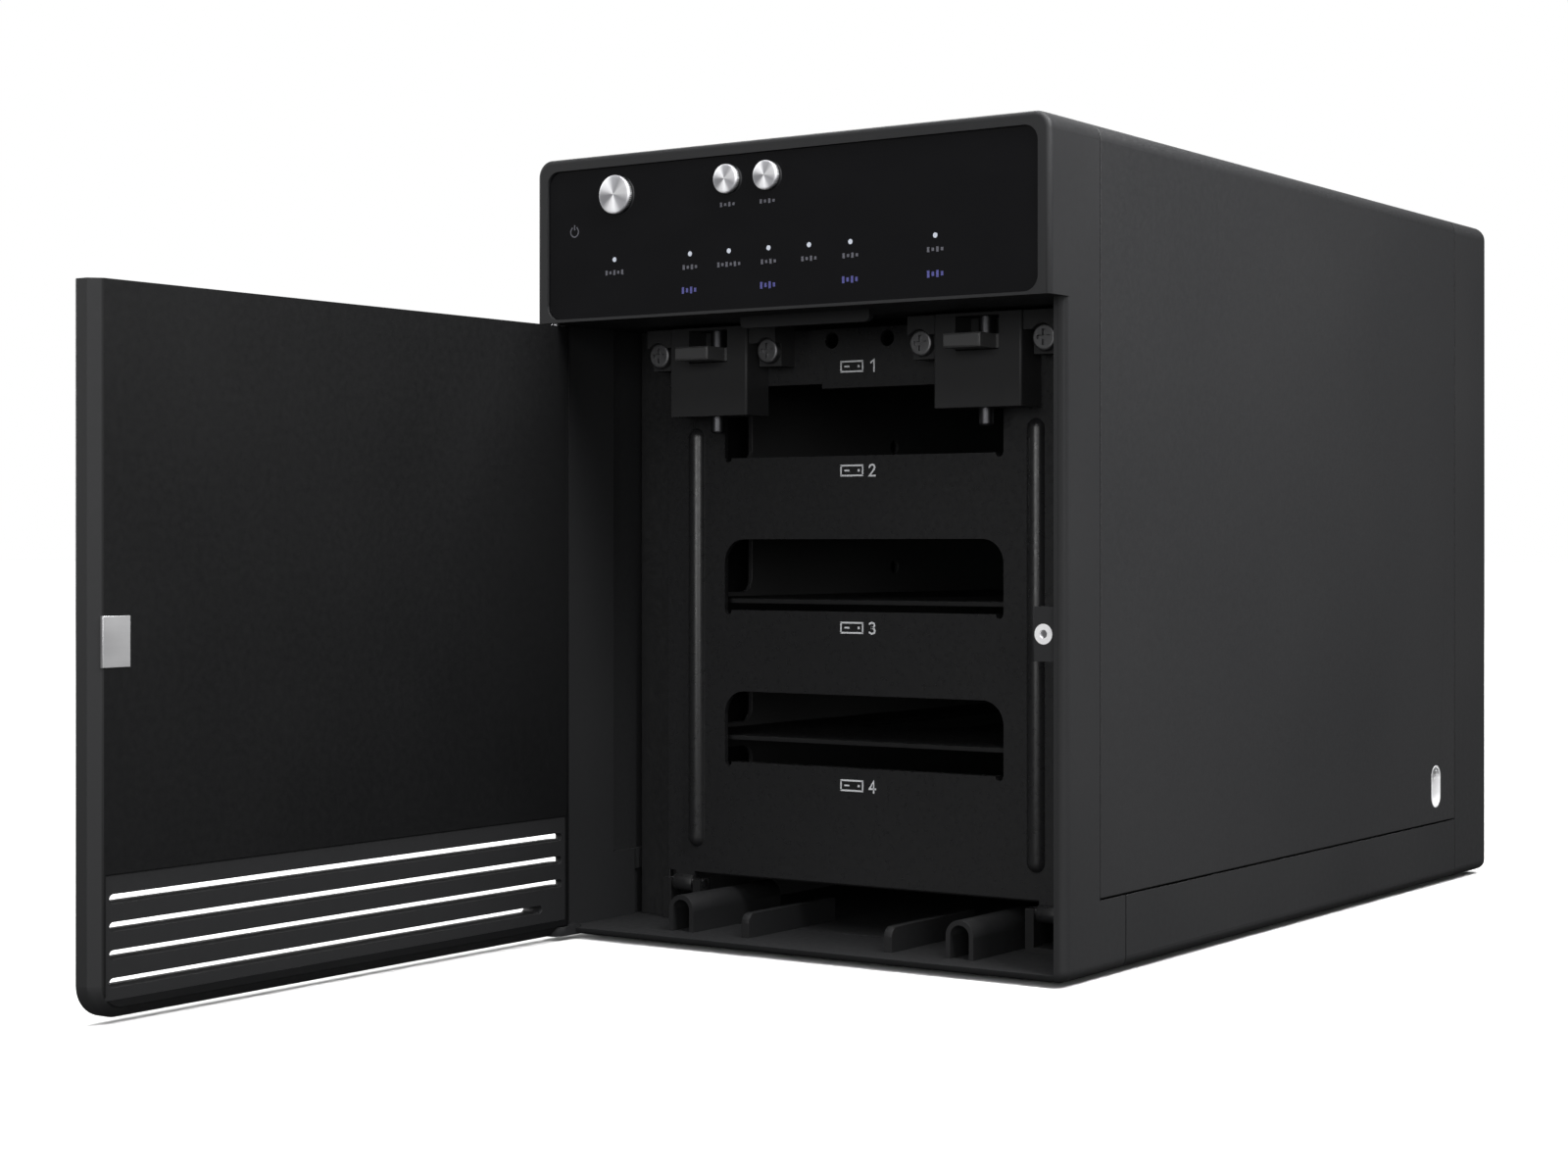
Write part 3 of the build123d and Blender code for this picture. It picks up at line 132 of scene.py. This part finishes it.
def moulded(name, dark, light, rough_low, rough_high, grain=2600.0):
    """Moulded plastic with a fine spark-eroded grain, slow colour drift and soft wear."""
    tree = Tree(name)
    drift = tree.noise(14.0, 2.0)
    fine = tree.noise(grain, 2.0, 0.6)
    coarse = tree.noise(grain * 0.28, 3.0, 0.6)
    base = tree.blend(tree.remap(drift, 0.3, 0.7, 0.0, 1.0), dark, light)
    tree.link(base, tree.shader.inputs["Base Color"])
    mottled = tree.math("MULTIPLY", tree.math("ADD", drift, coarse), 0.5)
    tree.link(tree.remap(mottled, 0.35, 0.65, rough_low, rough_high), tree.shader.inputs["Roughness"])
    grained = tree.math("ADD", tree.math("MULTIPLY", fine, 0.6), tree.math("MULTIPLY", coarse, 0.4))
    tree.link(tree.bump(grained, 0.35, 0.00003), tree.shader.inputs["Normal"])
    return tree


def coated(name, dark, light, rough_low, rough_high):
    """Powder-coated sheet: fine orange peel over a flat panel, a few brighter specks."""
    tree = Tree(name)
    drift = tree.noise(9.0, 2.0)
    peel = tree.noise(900.0, 2.0, 0.5)
    speck = tree.noise(3600.0, 1.0, 0.5)
    base = tree.blend(tree.remap(drift, 0.3, 0.7, 0.0, 1.0), dark, light)
    tree.link(base, tree.shader.inputs["Base Color"])
    tree.link(tree.remap(peel, 0.3, 0.7, rough_low, rough_high), tree.shader.inputs["Roughness"])
    under = tree.bump(peel, 0.25, 0.00004)
    tree.link(tree.bump(speck, 0.3, 0.00002, under), tree.shader.inputs["Normal"])
    return tree


def metal(name, dark, light, rough_low, rough_high, stretch):
    """Bare or plated metal with fine drawn lines along one direction."""
    tree = Tree(name)
    lines = tree.noise(500.0, 3.0, 0.6, stretch)
    patches = tree.noise(60.0, 2.0)
    tree.link(tree.blend(lines, dark, light), tree.shader.inputs["Base Color"])
    tree.link(tree.remap(patches, 0.3, 0.7, rough_low, rough_high), tree.shader.inputs["Roughness"])
    tree.link(tree.bump(lines, 0.12, 0.00002), tree.shader.inputs["Normal"])
    tree.shader.inputs["Metallic"].default_value = 1.0
    return tree


def printed(name, dark, light, glow=0.0):
    """Screen-printed ink with a slightly uneven film."""
    tree = Tree(name)
    film = tree.noise(1800.0, 2.0)
    tree.link(tree.blend(film, dark, light), tree.shader.inputs["Base Color"])
    tree.link(tree.remap(film, 0.3, 0.7, 0.4, 0.6), tree.shader.inputs["Roughness"])
    # a glow makes the ink give off light: painted light, since print is no lamp
    if glow:
        tree.shader.inputs["Emission Color"].default_value = (*light, 1)
        tree.shader.inputs["Emission Strength"].default_value = glow
    return tree


casing = moulded("casing_black", (0.0165, 0.0168, 0.0178), (0.0205, 0.0207, 0.0215), 0.50, 0.62)
# door finish painted far darker than the casing: painted shade for the casing's shadow on the open door's
# inner face
door_painted_shade = moulded("door_painted_shade", (0.0030, 0.0031, 0.0034), (0.0040, 0.0041, 0.0044), 0.46, 0.58)
inner_black = moulded("inner_black", (0.012, 0.0121, 0.0128), (0.017, 0.0171, 0.0178), 0.48, 0.62, 1800.0)
latch_black = moulded("latch_black", (0.021, 0.0211, 0.0218), (0.027, 0.0271, 0.0278), 0.42, 0.55, 1500.0)
plate_black = coated("plate_black", (0.0115, 0.0116, 0.0122), (0.0145, 0.0146, 0.0152), 0.26, 0.36)
cover_black = coated("cover_black", (0.0175, 0.0178, 0.0188), (0.0215, 0.0217, 0.0226), 0.46, 0.60)
tab_grey = moulded("tab_grey", (0.055, 0.0552, 0.056), (0.068, 0.0682, 0.069), 0.38, 0.5, 1500.0)
sheet_black = coated("sheet_black", (0.0085, 0.0086, 0.0090), (0.0115, 0.0116, 0.0120), 0.44, 0.58)


def painted_light_split(tree, axis, edge, colour):
    """Gives a finish another colour below a place along one axis of the object: a lit and a shaded copy of
    one finish, painted light and shade.
    """
    spot = tree.add("ShaderNodeSeparateXYZ")
    tree.link(tree.place(), spot.inputs["Vector"])
    below = tree.remap(spot.outputs[axis], edge - 0.1 * MM, edge + 0.1 * MM, 1.0, 0.0)
    above = tree.shader.inputs["Base Color"].links[0].from_socket
    skin = tree.add("ShaderNodeMix", data_type="RGBA")
    skin.inputs["B"].default_value = (*colour, 1)
    tree.link(below, skin.inputs["Factor"])
    tree.link(above, skin.inputs["A"])
    tree.link(skin.outputs["Result"], tree.shader.inputs["Base Color"])


# all of the door but its inner face gets a casing-like colour; the inner face keeps the darker painted shade
painted_light_split(door_painted_shade, "X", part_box("front_door")[1].x - 0.25 * MM, (0.019, 0.0192, 0.0201))
rubber = moulded("foot_rubber", (0.012, 0.012, 0.012), (0.02, 0.02, 0.02), 0.75, 0.9, 900.0)
steel = metal("plated_steel", (0.50, 0.50, 0.52), (0.68, 0.68, 0.70), 0.22, 0.38, (1.0, 1.0, 0.05))
bolt_steel = metal("bolt_steel", (0.055, 0.055, 0.06), (0.10, 0.10, 0.105), 0.36, 0.48, (1.0, 1.0, 0.05))
cap_dark = metal("cap_dark", (0.05, 0.05, 0.054), (0.08, 0.08, 0.084), 0.36, 0.5, (1.0, 1.0, 1.0))
# cage sides painted a lighter grey than the other sheet behind the shelf fronts: painted light inside the
# bays; in front of that line they keep the dark sheet colour
cage_painted_light = coated("cage_painted_light", (0.055, 0.0552, 0.056), (0.07, 0.0702, 0.071), 0.36, 0.46)
painted_light_split(cage_painted_light, "Y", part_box("drive_shelf_1")[0].y, (0.009, 0.0091, 0.0095))
screw_black = metal("screw_black", (0.15, 0.15, 0.155), (0.24, 0.24, 0.245), 0.42, 0.56, (1.0, 1.0, 1.0))
strike_steel = metal("strike_steel", (0.66, 0.66, 0.67), (0.78, 0.78, 0.79), 0.42, 0.56, (1.0, 0.04, 1.0))
# near-white and only partly metallic: real plating with a painted glint, a diffuse brightness standing in for
# its reflections
plating_and_glint = metal("plating_and_glint", (0.86, 0.86, 0.87), (0.95, 0.95, 0.96), 0.5, 0.62, (1.0, 1.0, 1.0))
plating_and_glint.shader.inputs["Metallic"].default_value = 0.4
white_ink = printed("white_ink", (0.55, 0.56, 0.58), (0.70, 0.71, 0.73))
grey_ink = printed("grey_ink", (0.07, 0.07, 0.085), (0.11, 0.11, 0.13))
# the violet ink is given a faint glow: painted light on top of the ink's own colour
violet_ink_glow = printed("violet_ink_glow", (0.05, 0.05, 0.17), (0.075, 0.075, 0.26), 0.08)
ribbon_grey = moulded("ribbon_grey", (0.22, 0.22, 0.23), (0.30, 0.30, 0.31), 0.5, 0.65)

pane = Tree("pane_gloss")
smear = pane.noise(55.0, 4.0, 0.6, (1.0, 1.0, 2.4))
dust = pane.noise(4200.0, 1.0)
pane_colour = pane.blend(smear, (0.0030, 0.0030, 0.0036), (0.0040, 0.0040, 0.0048))
pane.link(pane_colour, pane.shader.inputs["Base Color"])
pane.link(pane.remap(smear, 0.3, 0.75, 0.09, 0.17), pane.shader.inputs["Roughness"])
pane.link(pane.bump(dust, 0.05, 0.00001), pane.shader.inputs["Normal"])

board = Tree("board_green")
weave = board.noise(700.0, 2.0, 0.5)
board.link(board.blend(weave, (0.006, 0.035, 0.016), (0.010, 0.06, 0.026)), board.shader.inputs["Base Color"])
board.link(board.remap(weave, 0.3, 0.7, 0.3, 0.45), board.shader.inputs["Roughness"])
board.link(board.bump(weave, 0.2, 0.00003), board.shader.inputs["Normal"])

light_tip = Tree("light_tip")
haze = light_tip.noise(2500.0, 2.0)
tip_colour = light_tip.blend(haze, (0.30, 0.32, 0.36), (0.42, 0.44, 0.48))
light_tip.link(tip_colour, light_tip.shader.inputs["Base Color"])
light_tip.link(light_tip.remap(haze, 0.3, 0.7, 0.3, 0.45), light_tip.shader.inputs["Roughness"])
light_tip.shader.inputs["Emission Color"].default_value = (0.80, 0.86, 1.0, 1)
light_tip.shader.inputs["Emission Strength"].default_value = 0.25

chrome = Tree("spun_chrome")
spin = chrome.noise(160.0, 2.0)
face = chrome.add("ShaderNodeSeparateXYZ")
chrome.link(chrome.place(), face.inputs["Vector"])
# the bright and dark sectors are a painted reflection: the sunburst highlight of a spun face, painted into
# the colour; the near-white, half-metallic base also paints in brightness for reflected light
turn = chrome.math("ARCTAN2", face.outputs["Y"], face.outputs["X"])
sweep = chrome.math("SINE", chrome.math("ADD", chrome.math("MULTIPLY", turn, 3.0), 0.6), 0.0)
painted_sunburst = chrome.math("ADD", chrome.remap(sweep, -0.7, 0.7, 0.0, 0.85), chrome.math("MULTIPLY", spin, 0.15))
chrome.link(chrome.blend(painted_sunburst, (0.30, 0.30, 0.32), (0.95, 0.95, 0.97)), chrome.shader.inputs["Base Color"])
chrome.link(chrome.remap(spin, 0.3, 0.7, 0.54, 0.64), chrome.shader.inputs["Roughness"])
chrome.shader.inputs["Metallic"].default_value = 0.5
chrome.shader.inputs["Anisotropic"].default_value = 0.75
tangent = chrome.add("ShaderNodeTangent", direction_type="RADIAL", axis="Z")
chrome.link(tangent.outputs["Tangent"], chrome.shader.inputs["Tangent"])

finishes = {
    "front_bezel": casing,
    "rear_frame": casing,
    "base_tray": casing,
    "front_door": door_painted_shade,
    "top_cover": cover_black,
    "control_panel": pane,
    "floor_guides": inner_black,
    "latch_housing_left": latch_black,
    "latch_housing_right": latch_black,
    "latch_tab_left": tab_grey,
    "latch_tab_right": tab_grey,
    "drive_cover": plate_black,
    "cover_brackets": sheet_black,
    "cage_side_left": cage_painted_light,
    "cage_side_right": cage_painted_light,
    "cage_top": sheet_black,
    "drive_shelf_1": sheet_black,
    "drive_shelf_2": sheet_black,
    "drive_shelf_3": sheet_black,
    "drive_shelf_4": sheet_black,
    "rear_panel": sheet_black,
    "latch_screws": screw_black,
    "panel_screws": screw_black,
    "fan_screws": screw_black,
    "latch_bolt_left": bolt_steel,
    "latch_bolt_right": bolt_steel,
    "door_strike": strike_steel,
    "door_hinge_pins": steel,
    "cover_trunnions": steel,
    "lock_plate": sheet_black,
    "lock_liner": plating_and_glint,
    "door_magnet": plating_and_glint,
    "magnet_screw": steel,
    "usb_port": steel,
    "esata_port": steel,
    "power_jack": inner_black,
    "sata_sockets": inner_black,
    "tact_switches": inner_black,
    "fan_frame": inner_black,
    "fan_rotor": inner_black,
    "front_board": board,
    "backplane_board": board,
    "controller_board": board,
    "light_pipes": light_tip,
    "status_leds": light_tip,
    "power_button": cap_dark,
    "sync_button": cap_dark,
    "fan_button": cap_dark,
    "rubber_feet": rubber,
    "front_cable": ribbon_grey,
}
edges = {
    "front_bezel": 0.25,
    "rear_frame": 0.25,
    "base_tray": 0.2,
    "front_door": 0.25,
    "top_cover": 0.2,
    "floor_guides": 0.2,
    "latch_housing_left": 0.2,
    "latch_housing_right": 0.2,
    "latch_tab_left": 0.15,
    "latch_tab_right": 0.15,
    "drive_cover": 0.25,
    "cover_brackets": 0.1,
    "cage_side_left": 0.15,
    "cage_side_right": 0.15,
    "cage_top": 0.15,
    "drive_shelf_1": 0.15,
    "drive_shelf_2": 0.15,
    "drive_shelf_3": 0.15,
    "drive_shelf_4": 0.15,
    "door_strike": 0.05,
    "lock_plate": 0.1,
    "latch_screws": 0.06,
    "panel_screws": 0.06,
    "fan_screws": 0.06,
    "rear_panel": 0.12,
    "fan_frame": 0.2,
}
for tree in (casing, door_painted_shade, inner_black, latch_black, cover_black, sheet_black):
    tree.shader.inputs["Specular IOR Level"].default_value = 0.22
for name, tree in finishes.items():
    node = nodes[name]
    node.data.materials.clear()
    node.data.materials.append(tree.material)
for name, radius in edges.items():
    node = nodes[name]
    weld = node.modifiers.new("weld", "WELD")
    weld.merge_threshold = 0.000002
    bevel = node.modifiers.new("edge", "BEVEL")
    bevel.width = radius * MM
    bevel.segments = 2
    bevel.limit_method = "ANGLE"
    bevel.angle_limit = math.radians(40)
    bevel.harden_normals = True


# ---------------------------------------------------------------- small pieces
def mesh_piece(name, bm, tree, body, origin=(0, 0, 0), smooth=False):
    """A new piece from a bmesh, riding on a body."""
    mesh = bpy.data.meshes.new(name)
    bmesh.ops.recalc_face_normals(bm, faces=bm.faces)
    bm.to_mesh(mesh)
    bm.free()
    for polygon in mesh.polygons:
        polygon.use_smooth = smooth
    mesh.materials.append(tree.material)
    piece = bpy.data.objects.new(name, mesh)
    piece.location = origin
    bpy.context.scene.collection.objects.link(piece)
    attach(piece, body)
    return piece


def bar(bm, x, z, y, width, height, thick):
    """A flat printed bar that faces the front."""
    matrix = Matrix.Translation((x, y, z)) @ Matrix.Diagonal((width, thick, height, 1))
    bmesh.ops.create_cube(bm, size=1.0, matrix=matrix)


def revolve(bm, profile, steps=64):
    """Turns (radius, height) points about the Z axis into a closed skin."""
    rings = []
    for radius, height in profile:
        if radius < 1e-7:
            rings.append([bm.verts.new((0, 0, height))])
            continue
        rings.append(
            [
                bm.verts.new((radius * math.cos(t), radius * math.sin(t), height))
                for t in (2 * math.pi * k / steps for k in range(steps))
            ]
        )
    for low, high in zip(rings, rings[1:]):
        for k in range(steps):
            after = k + 1
            quad = [
                low[k % len(low)],
                low[after % len(low)],
                high[after % len(high)],
                high[k % len(high)],
            ]
            corners = list(dict.fromkeys(quad))
            if len(corners) > 2:
                bm.faces.new(corners)


# domed, spun faces of the three buttons, just proud of the moulded caps
turn_to_front = Matrix.Rotation(math.radians(90), 4, "X")
for name in ("power_button", "sync_button", "fan_button"):
    low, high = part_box(name)
    centre = (low + high) / 2
    reach = min(high.x - low.x, high.z - low.z) / 2 - 0.7 * MM
    bm = bmesh.new()
    rim = reach - 0.15 * MM
    dome = 0.25 * MM
    back = 1.2 * MM
    profile = [(0, -back), (rim, -back), (reach, -back + 0.1 * MM), (reach, -0.12 * MM), (rim, 0.0)]
    profile += [
        (rim * math.cos(math.radians(a)), dome * math.sin(math.radians(a)) * 0.6)
        for a in (15, 30, 45, 60, 75)
    ]
    profile.append((0, dome * 0.6))
    revolve(bm, profile)
    piece = mesh_piece(f"{name}_face", bm, chrome, name, smooth=True)
    piece.parent = None
    piece.matrix_world = Matrix.Translation((centre.x, low.y - 0.03 * MM, centre.z)) @ turn_to_front
    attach(piece, name)

# printed marks on the control window: a generic power symbol, short dashes, no lettering
pane_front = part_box("control_panel")[0].y
ink_y = pane_front - INK_LIFT


def dashes(bm, x, z, count, height):
    """A short row of strokes under a button or a light."""
    pitch = 1.05 * MM
    start = x - pitch * (count - 1) / 2
    for k in range(count):
        tall = height if k % 2 == 0 else height * 0.62
        bar(bm, start + k * pitch, z, ink_y, 0.55 * MM, tall, INK_THICK)


# places on the window, in mm across and up: under the lights, under the small buttons, the lower row
light_legends = {-42.4: 5, -22.5: 4, -12.55: 6, -2.6: 4, 7.35: 4, 17.3: 4, 37.1: 4}
light_legend_z, button_legend_z, violet_legend_z = 140.4, 152.5, 135.7
bm = bmesh.new()
for x, count in light_legends.items():
    dashes(bm, x * MM, light_legend_z * MM, count, 1.0 * MM)
for x in (-12.9, -2.9):
    dashes(bm, x * MM, button_legend_z * MM, 4, 0.9 * MM)
mesh_piece("window_legends", bm, grey_ink, "chassis")
bm = bmesh.new()
for x in (-22.7, -2.8, 17.2, 37.1):
    dashes(bm, x * MM, violet_legend_z * MM, 4, 1.35 * MM)
mesh_piece("window_legends_violet", bm, violet_ink_glow, "chassis")

bm = bmesh.new()
ring_radius, ring_width = 1.05 * MM, 0.26 * MM
arc = [math.radians(a) for a in range(120, 421, 12)]
inner, outer = [
    [bm.verts.new((math.cos(a) * radius, 0, math.sin(a) * radius)) for a in arc]
    for radius in (ring_radius - ring_width / 2, ring_radius + ring_width / 2)
]
for k in range(len(arc) - 1):
    bm.faces.new((inner[k], inner[k + 1], outer[k + 1], outer[k]))
bar(bm, 0, 0.9 * MM, 0, ring_width, 1.1 * MM, INK_THICK)
symbol_place = (-53.2 * MM, ink_y - INK_LIFT / 2, 149.5 * MM)
mesh_piece("power_symbol", bm, grey_ink, "chassis", symbol_place)

# bay marks on the drive cover: a small drive outline and the bay's number
# the flat of the plate, behind its raised ribs
plate_front = -81.3 * MM
plate_y = plate_front - 2 * INK_LIFT

digits = {
    "1": [[(0.15, 0.78), (0.5, 1.0), (0.5, 0.0)]],
    "2": [
        [(0.0, 0.78), (0.08, 0.93), (0.28, 1.0), (0.5, 0.93)]
        + [(0.58, 0.76), (0.5, 0.56), (0.0, 0.0), (0.6, 0.0)],
    ],
    "3": [
        [(0.02, 0.9), (0.25, 1.0), (0.5, 0.92), (0.56, 0.76), (0.46, 0.58), (0.22, 0.53)],
        [(0.22, 0.53), (0.5, 0.46), (0.6, 0.27), (0.5, 0.07), (0.25, 0.0), (0.0, 0.1)],
    ],
    "4": [[(0.46, 0.0), (0.46, 1.0), (0.0, 0.3), (0.64, 0.3)]],
}


def ribbon(bm, points, width, y):
    """A flat band of even width along points in the X-Z plane."""
    spread = width / 2
    sides = []
    count = len(points)
    for k, point in enumerate(points):
        here = Vector(point)
        before = Vector(points[max(k - 1, 0)])
        after = Vector(points[min(k + 1, count - 1)])
        along_in = (here - before).normalized() if k else (after - here).normalized()
        along_out = (after - here).normalized() if k < count - 1 else along_in
        across = Vector((-(along_in + along_out).y, (along_in + along_out).x)).normalized()
        reach = spread / max(across.dot(Vector((-along_in.y, along_in.x))), 0.5)
        extra = along_in * spread * (-1 if k == 0 else 1 if k == count - 1 else 0)
        sides.append([here + extra + across * reach, here + extra - across * reach])
    verts = [[bm.verts.new((p.x, y, p.y)) for p in pair] for pair in sides]
    for a, b in zip(verts, verts[1:]):
        bm.faces.new((a[0], b[0], b[1], a[1]))


bay_heights = {"1": 121.0, "2": 99.3, "3": 66.5, "4": 33.6}
for digit, z in bay_heights.items():
    bm = bmesh.new()
    tall = 2.3 * MM
    base = (z - 1.15) * MM
    for line in digits[digit]:
        ribbon(bm, [((2.6 * MM) + u * tall, base + v * tall) for u, v in line], 0.38 * MM, plate_y)
    left, right = -4.6 * MM, 0.9 * MM
    low_z, high_z = base + 0.1 * MM, base + tall - 0.1 * MM
    line = 0.34 * MM
    middle_x, middle_z = (left + right) / 2, (low_z + high_z) / 2
    for x, z_bar, wide, high in (
        (middle_x, low_z, right - left + line, line),
        (middle_x, high_z, right - left + line, line),
        (left, middle_z, line, high_z - low_z),
        (right, middle_z, line, high_z - low_z),
        (left + 1.5 * MM, middle_z, 1.3 * MM, line),
        (right - 1.0 * MM, middle_z, 0.5 * MM, 0.5 * MM),
    ):
        bar(bm, x, z_bar, plate_y, wide, high, INK_THICK)
    mesh_piece(f"bay_mark_{digit}", bm, white_ink, "drive_cover")

# ---------------------------------------------------------------- floor and backdrop
floor_material = Tree("floor_pale")
cloud = floor_material.noise(3.0, 2.0)
floor_colour = floor_material.blend(cloud, (0.90, 0.90, 0.90), (0.93, 0.93, 0.93))
floor_material.link(floor_colour, floor_material.shader.inputs["Base Color"])
floor_material.shader.inputs["Roughness"].default_value = 0.9
floor_material.shader.inputs["Specular IOR Level"].default_value = 0.0
shy = floor_material.add("ShaderNodeBsdfDiffuse")
shy.inputs["Color"].default_value = (0.05, 0.05, 0.05, 1)
seen = floor_material.add("ShaderNodeLightPath")
either = floor_material.add("ShaderNodeMixShader")
floor_material.link(seen.outputs["Is Camera Ray"], either.inputs["Fac"])
floor_material.link(shy.outputs["BSDF"], either.inputs[1])
floor_material.link(floor_material.shader.outputs["BSDF"], either.inputs[2])
floor_material.link(either.outputs["Shader"], floor_material.nodes["Material Output"].inputs["Surface"])
bm = bmesh.new()
bmesh.ops.create_grid(bm, x_segments=1, y_segments=1, size=1.0)
mesh = bpy.data.meshes.new("floor")
bm.to_mesh(mesh)
bm.free()
mesh.materials.append(floor_material.material)
floor = bpy.data.objects.new("floor", mesh)
floor.scale = (12, 12, 1)
bpy.context.scene.collection.objects.link(floor)
floor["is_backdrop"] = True

# ---------------------------------------------------------------- lights
world = bpy.data.worlds.new("studio")
bpy.context.scene.world = world
world.use_nodes = True
sky = world.node_tree
backdrop = sky.nodes["Background"]
backdrop.inputs["Color"].default_value = (1, 1, 1, 1)
backdrop.inputs["Strength"].default_value = 1.0
room = sky.nodes.new("ShaderNodeBackground")
room.inputs["Color"].default_value = (1, 1, 1, 1)
room.inputs["Strength"].default_value = ROOM_FILL
ray = sky.nodes.new("ShaderNodeLightPath")
choose = sky.nodes.new("ShaderNodeMixShader")
sky.links.new(ray.outputs["Is Camera Ray"], choose.inputs["Fac"])
sky.links.new(room.outputs["Background"], choose.inputs[1])
sky.links.new(backdrop.outputs["Background"], choose.inputs[2])
sky.links.new(choose.outputs["Shader"], sky.nodes["World Output"].inputs["Surface"])


def soft_light(name, place, aim, size, power):
    """A square soft light at a place, turned towards a point."""
    data = bpy.data.lights.new(name, "AREA")
    data.shape = "RECTANGLE"
    data.size = size
    data.size_y = size
    data.energy = power
    lamp = bpy.data.objects.new(name, data)
    lamp.location = place
    lamp.visible_camera = False
    lamp.rotation_mode = "QUATERNION"
    lamp.rotation_quaternion = (Vector(aim) - Vector(place)).to_track_quat("-Z", "Y")
    bpy.context.scene.collection.objects.link(lamp)


overhead_data = bpy.data.lights.new("overhead", "SUN")
overhead_data.energy = 3.4
overhead_data.angle = math.radians(35)
overhead = bpy.data.objects.new("overhead", overhead_data)
bpy.context.scene.collection.objects.link(overhead)
soft_light("side_key", (0.32, -0.12, 0.42), (0.063, -0.04, 0.12), 0.25, 4.8)
soft_light("front_right", (1.0, -1.25, 0.35), (0.0, -0.08, 0.08), 0.6, 4.5)
soft_light("front_soft", (0.2, -1.5, 0.32), (0.0, -0.08, 0.08), 0.6, 5.0)
soft_light("front_high", (0.15, -1.1, 1.1), (0.0, -0.08, 0.03), 0.5, 5.5)
soft_light("back_left", (-0.9, 1.05, 1.5), (0.0, 0.05, 0.08), 1.0, 30.0)
soft_light("left_low", (-1.3, -0.3, 0.3), (-0.06, 0.0, 0.08), 0.6, 8.0)

bpy.context.scene.view_settings.view_transform = "Standard"

# ---------------------------------------------------------------- camera
camera_data = bpy.data.cameras.new("camera")
camera_data.sensor_width = 36.0
camera_data.lens = 60.5
camera_data.shift_x = -0.10
camera_data.shift_y = -0.0266
camera_data.clip_start = 0.01
camera = bpy.data.objects.new("camera", camera_data)
camera.location = (0.3120, -0.5325, 0.0835)
heading = math.radians(32.89)
camera.rotation_euler = (math.radians(90), 0, heading)
bpy.context.scene.collection.objects.link(camera)
bpy.context.scene.camera = camera

low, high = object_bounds()
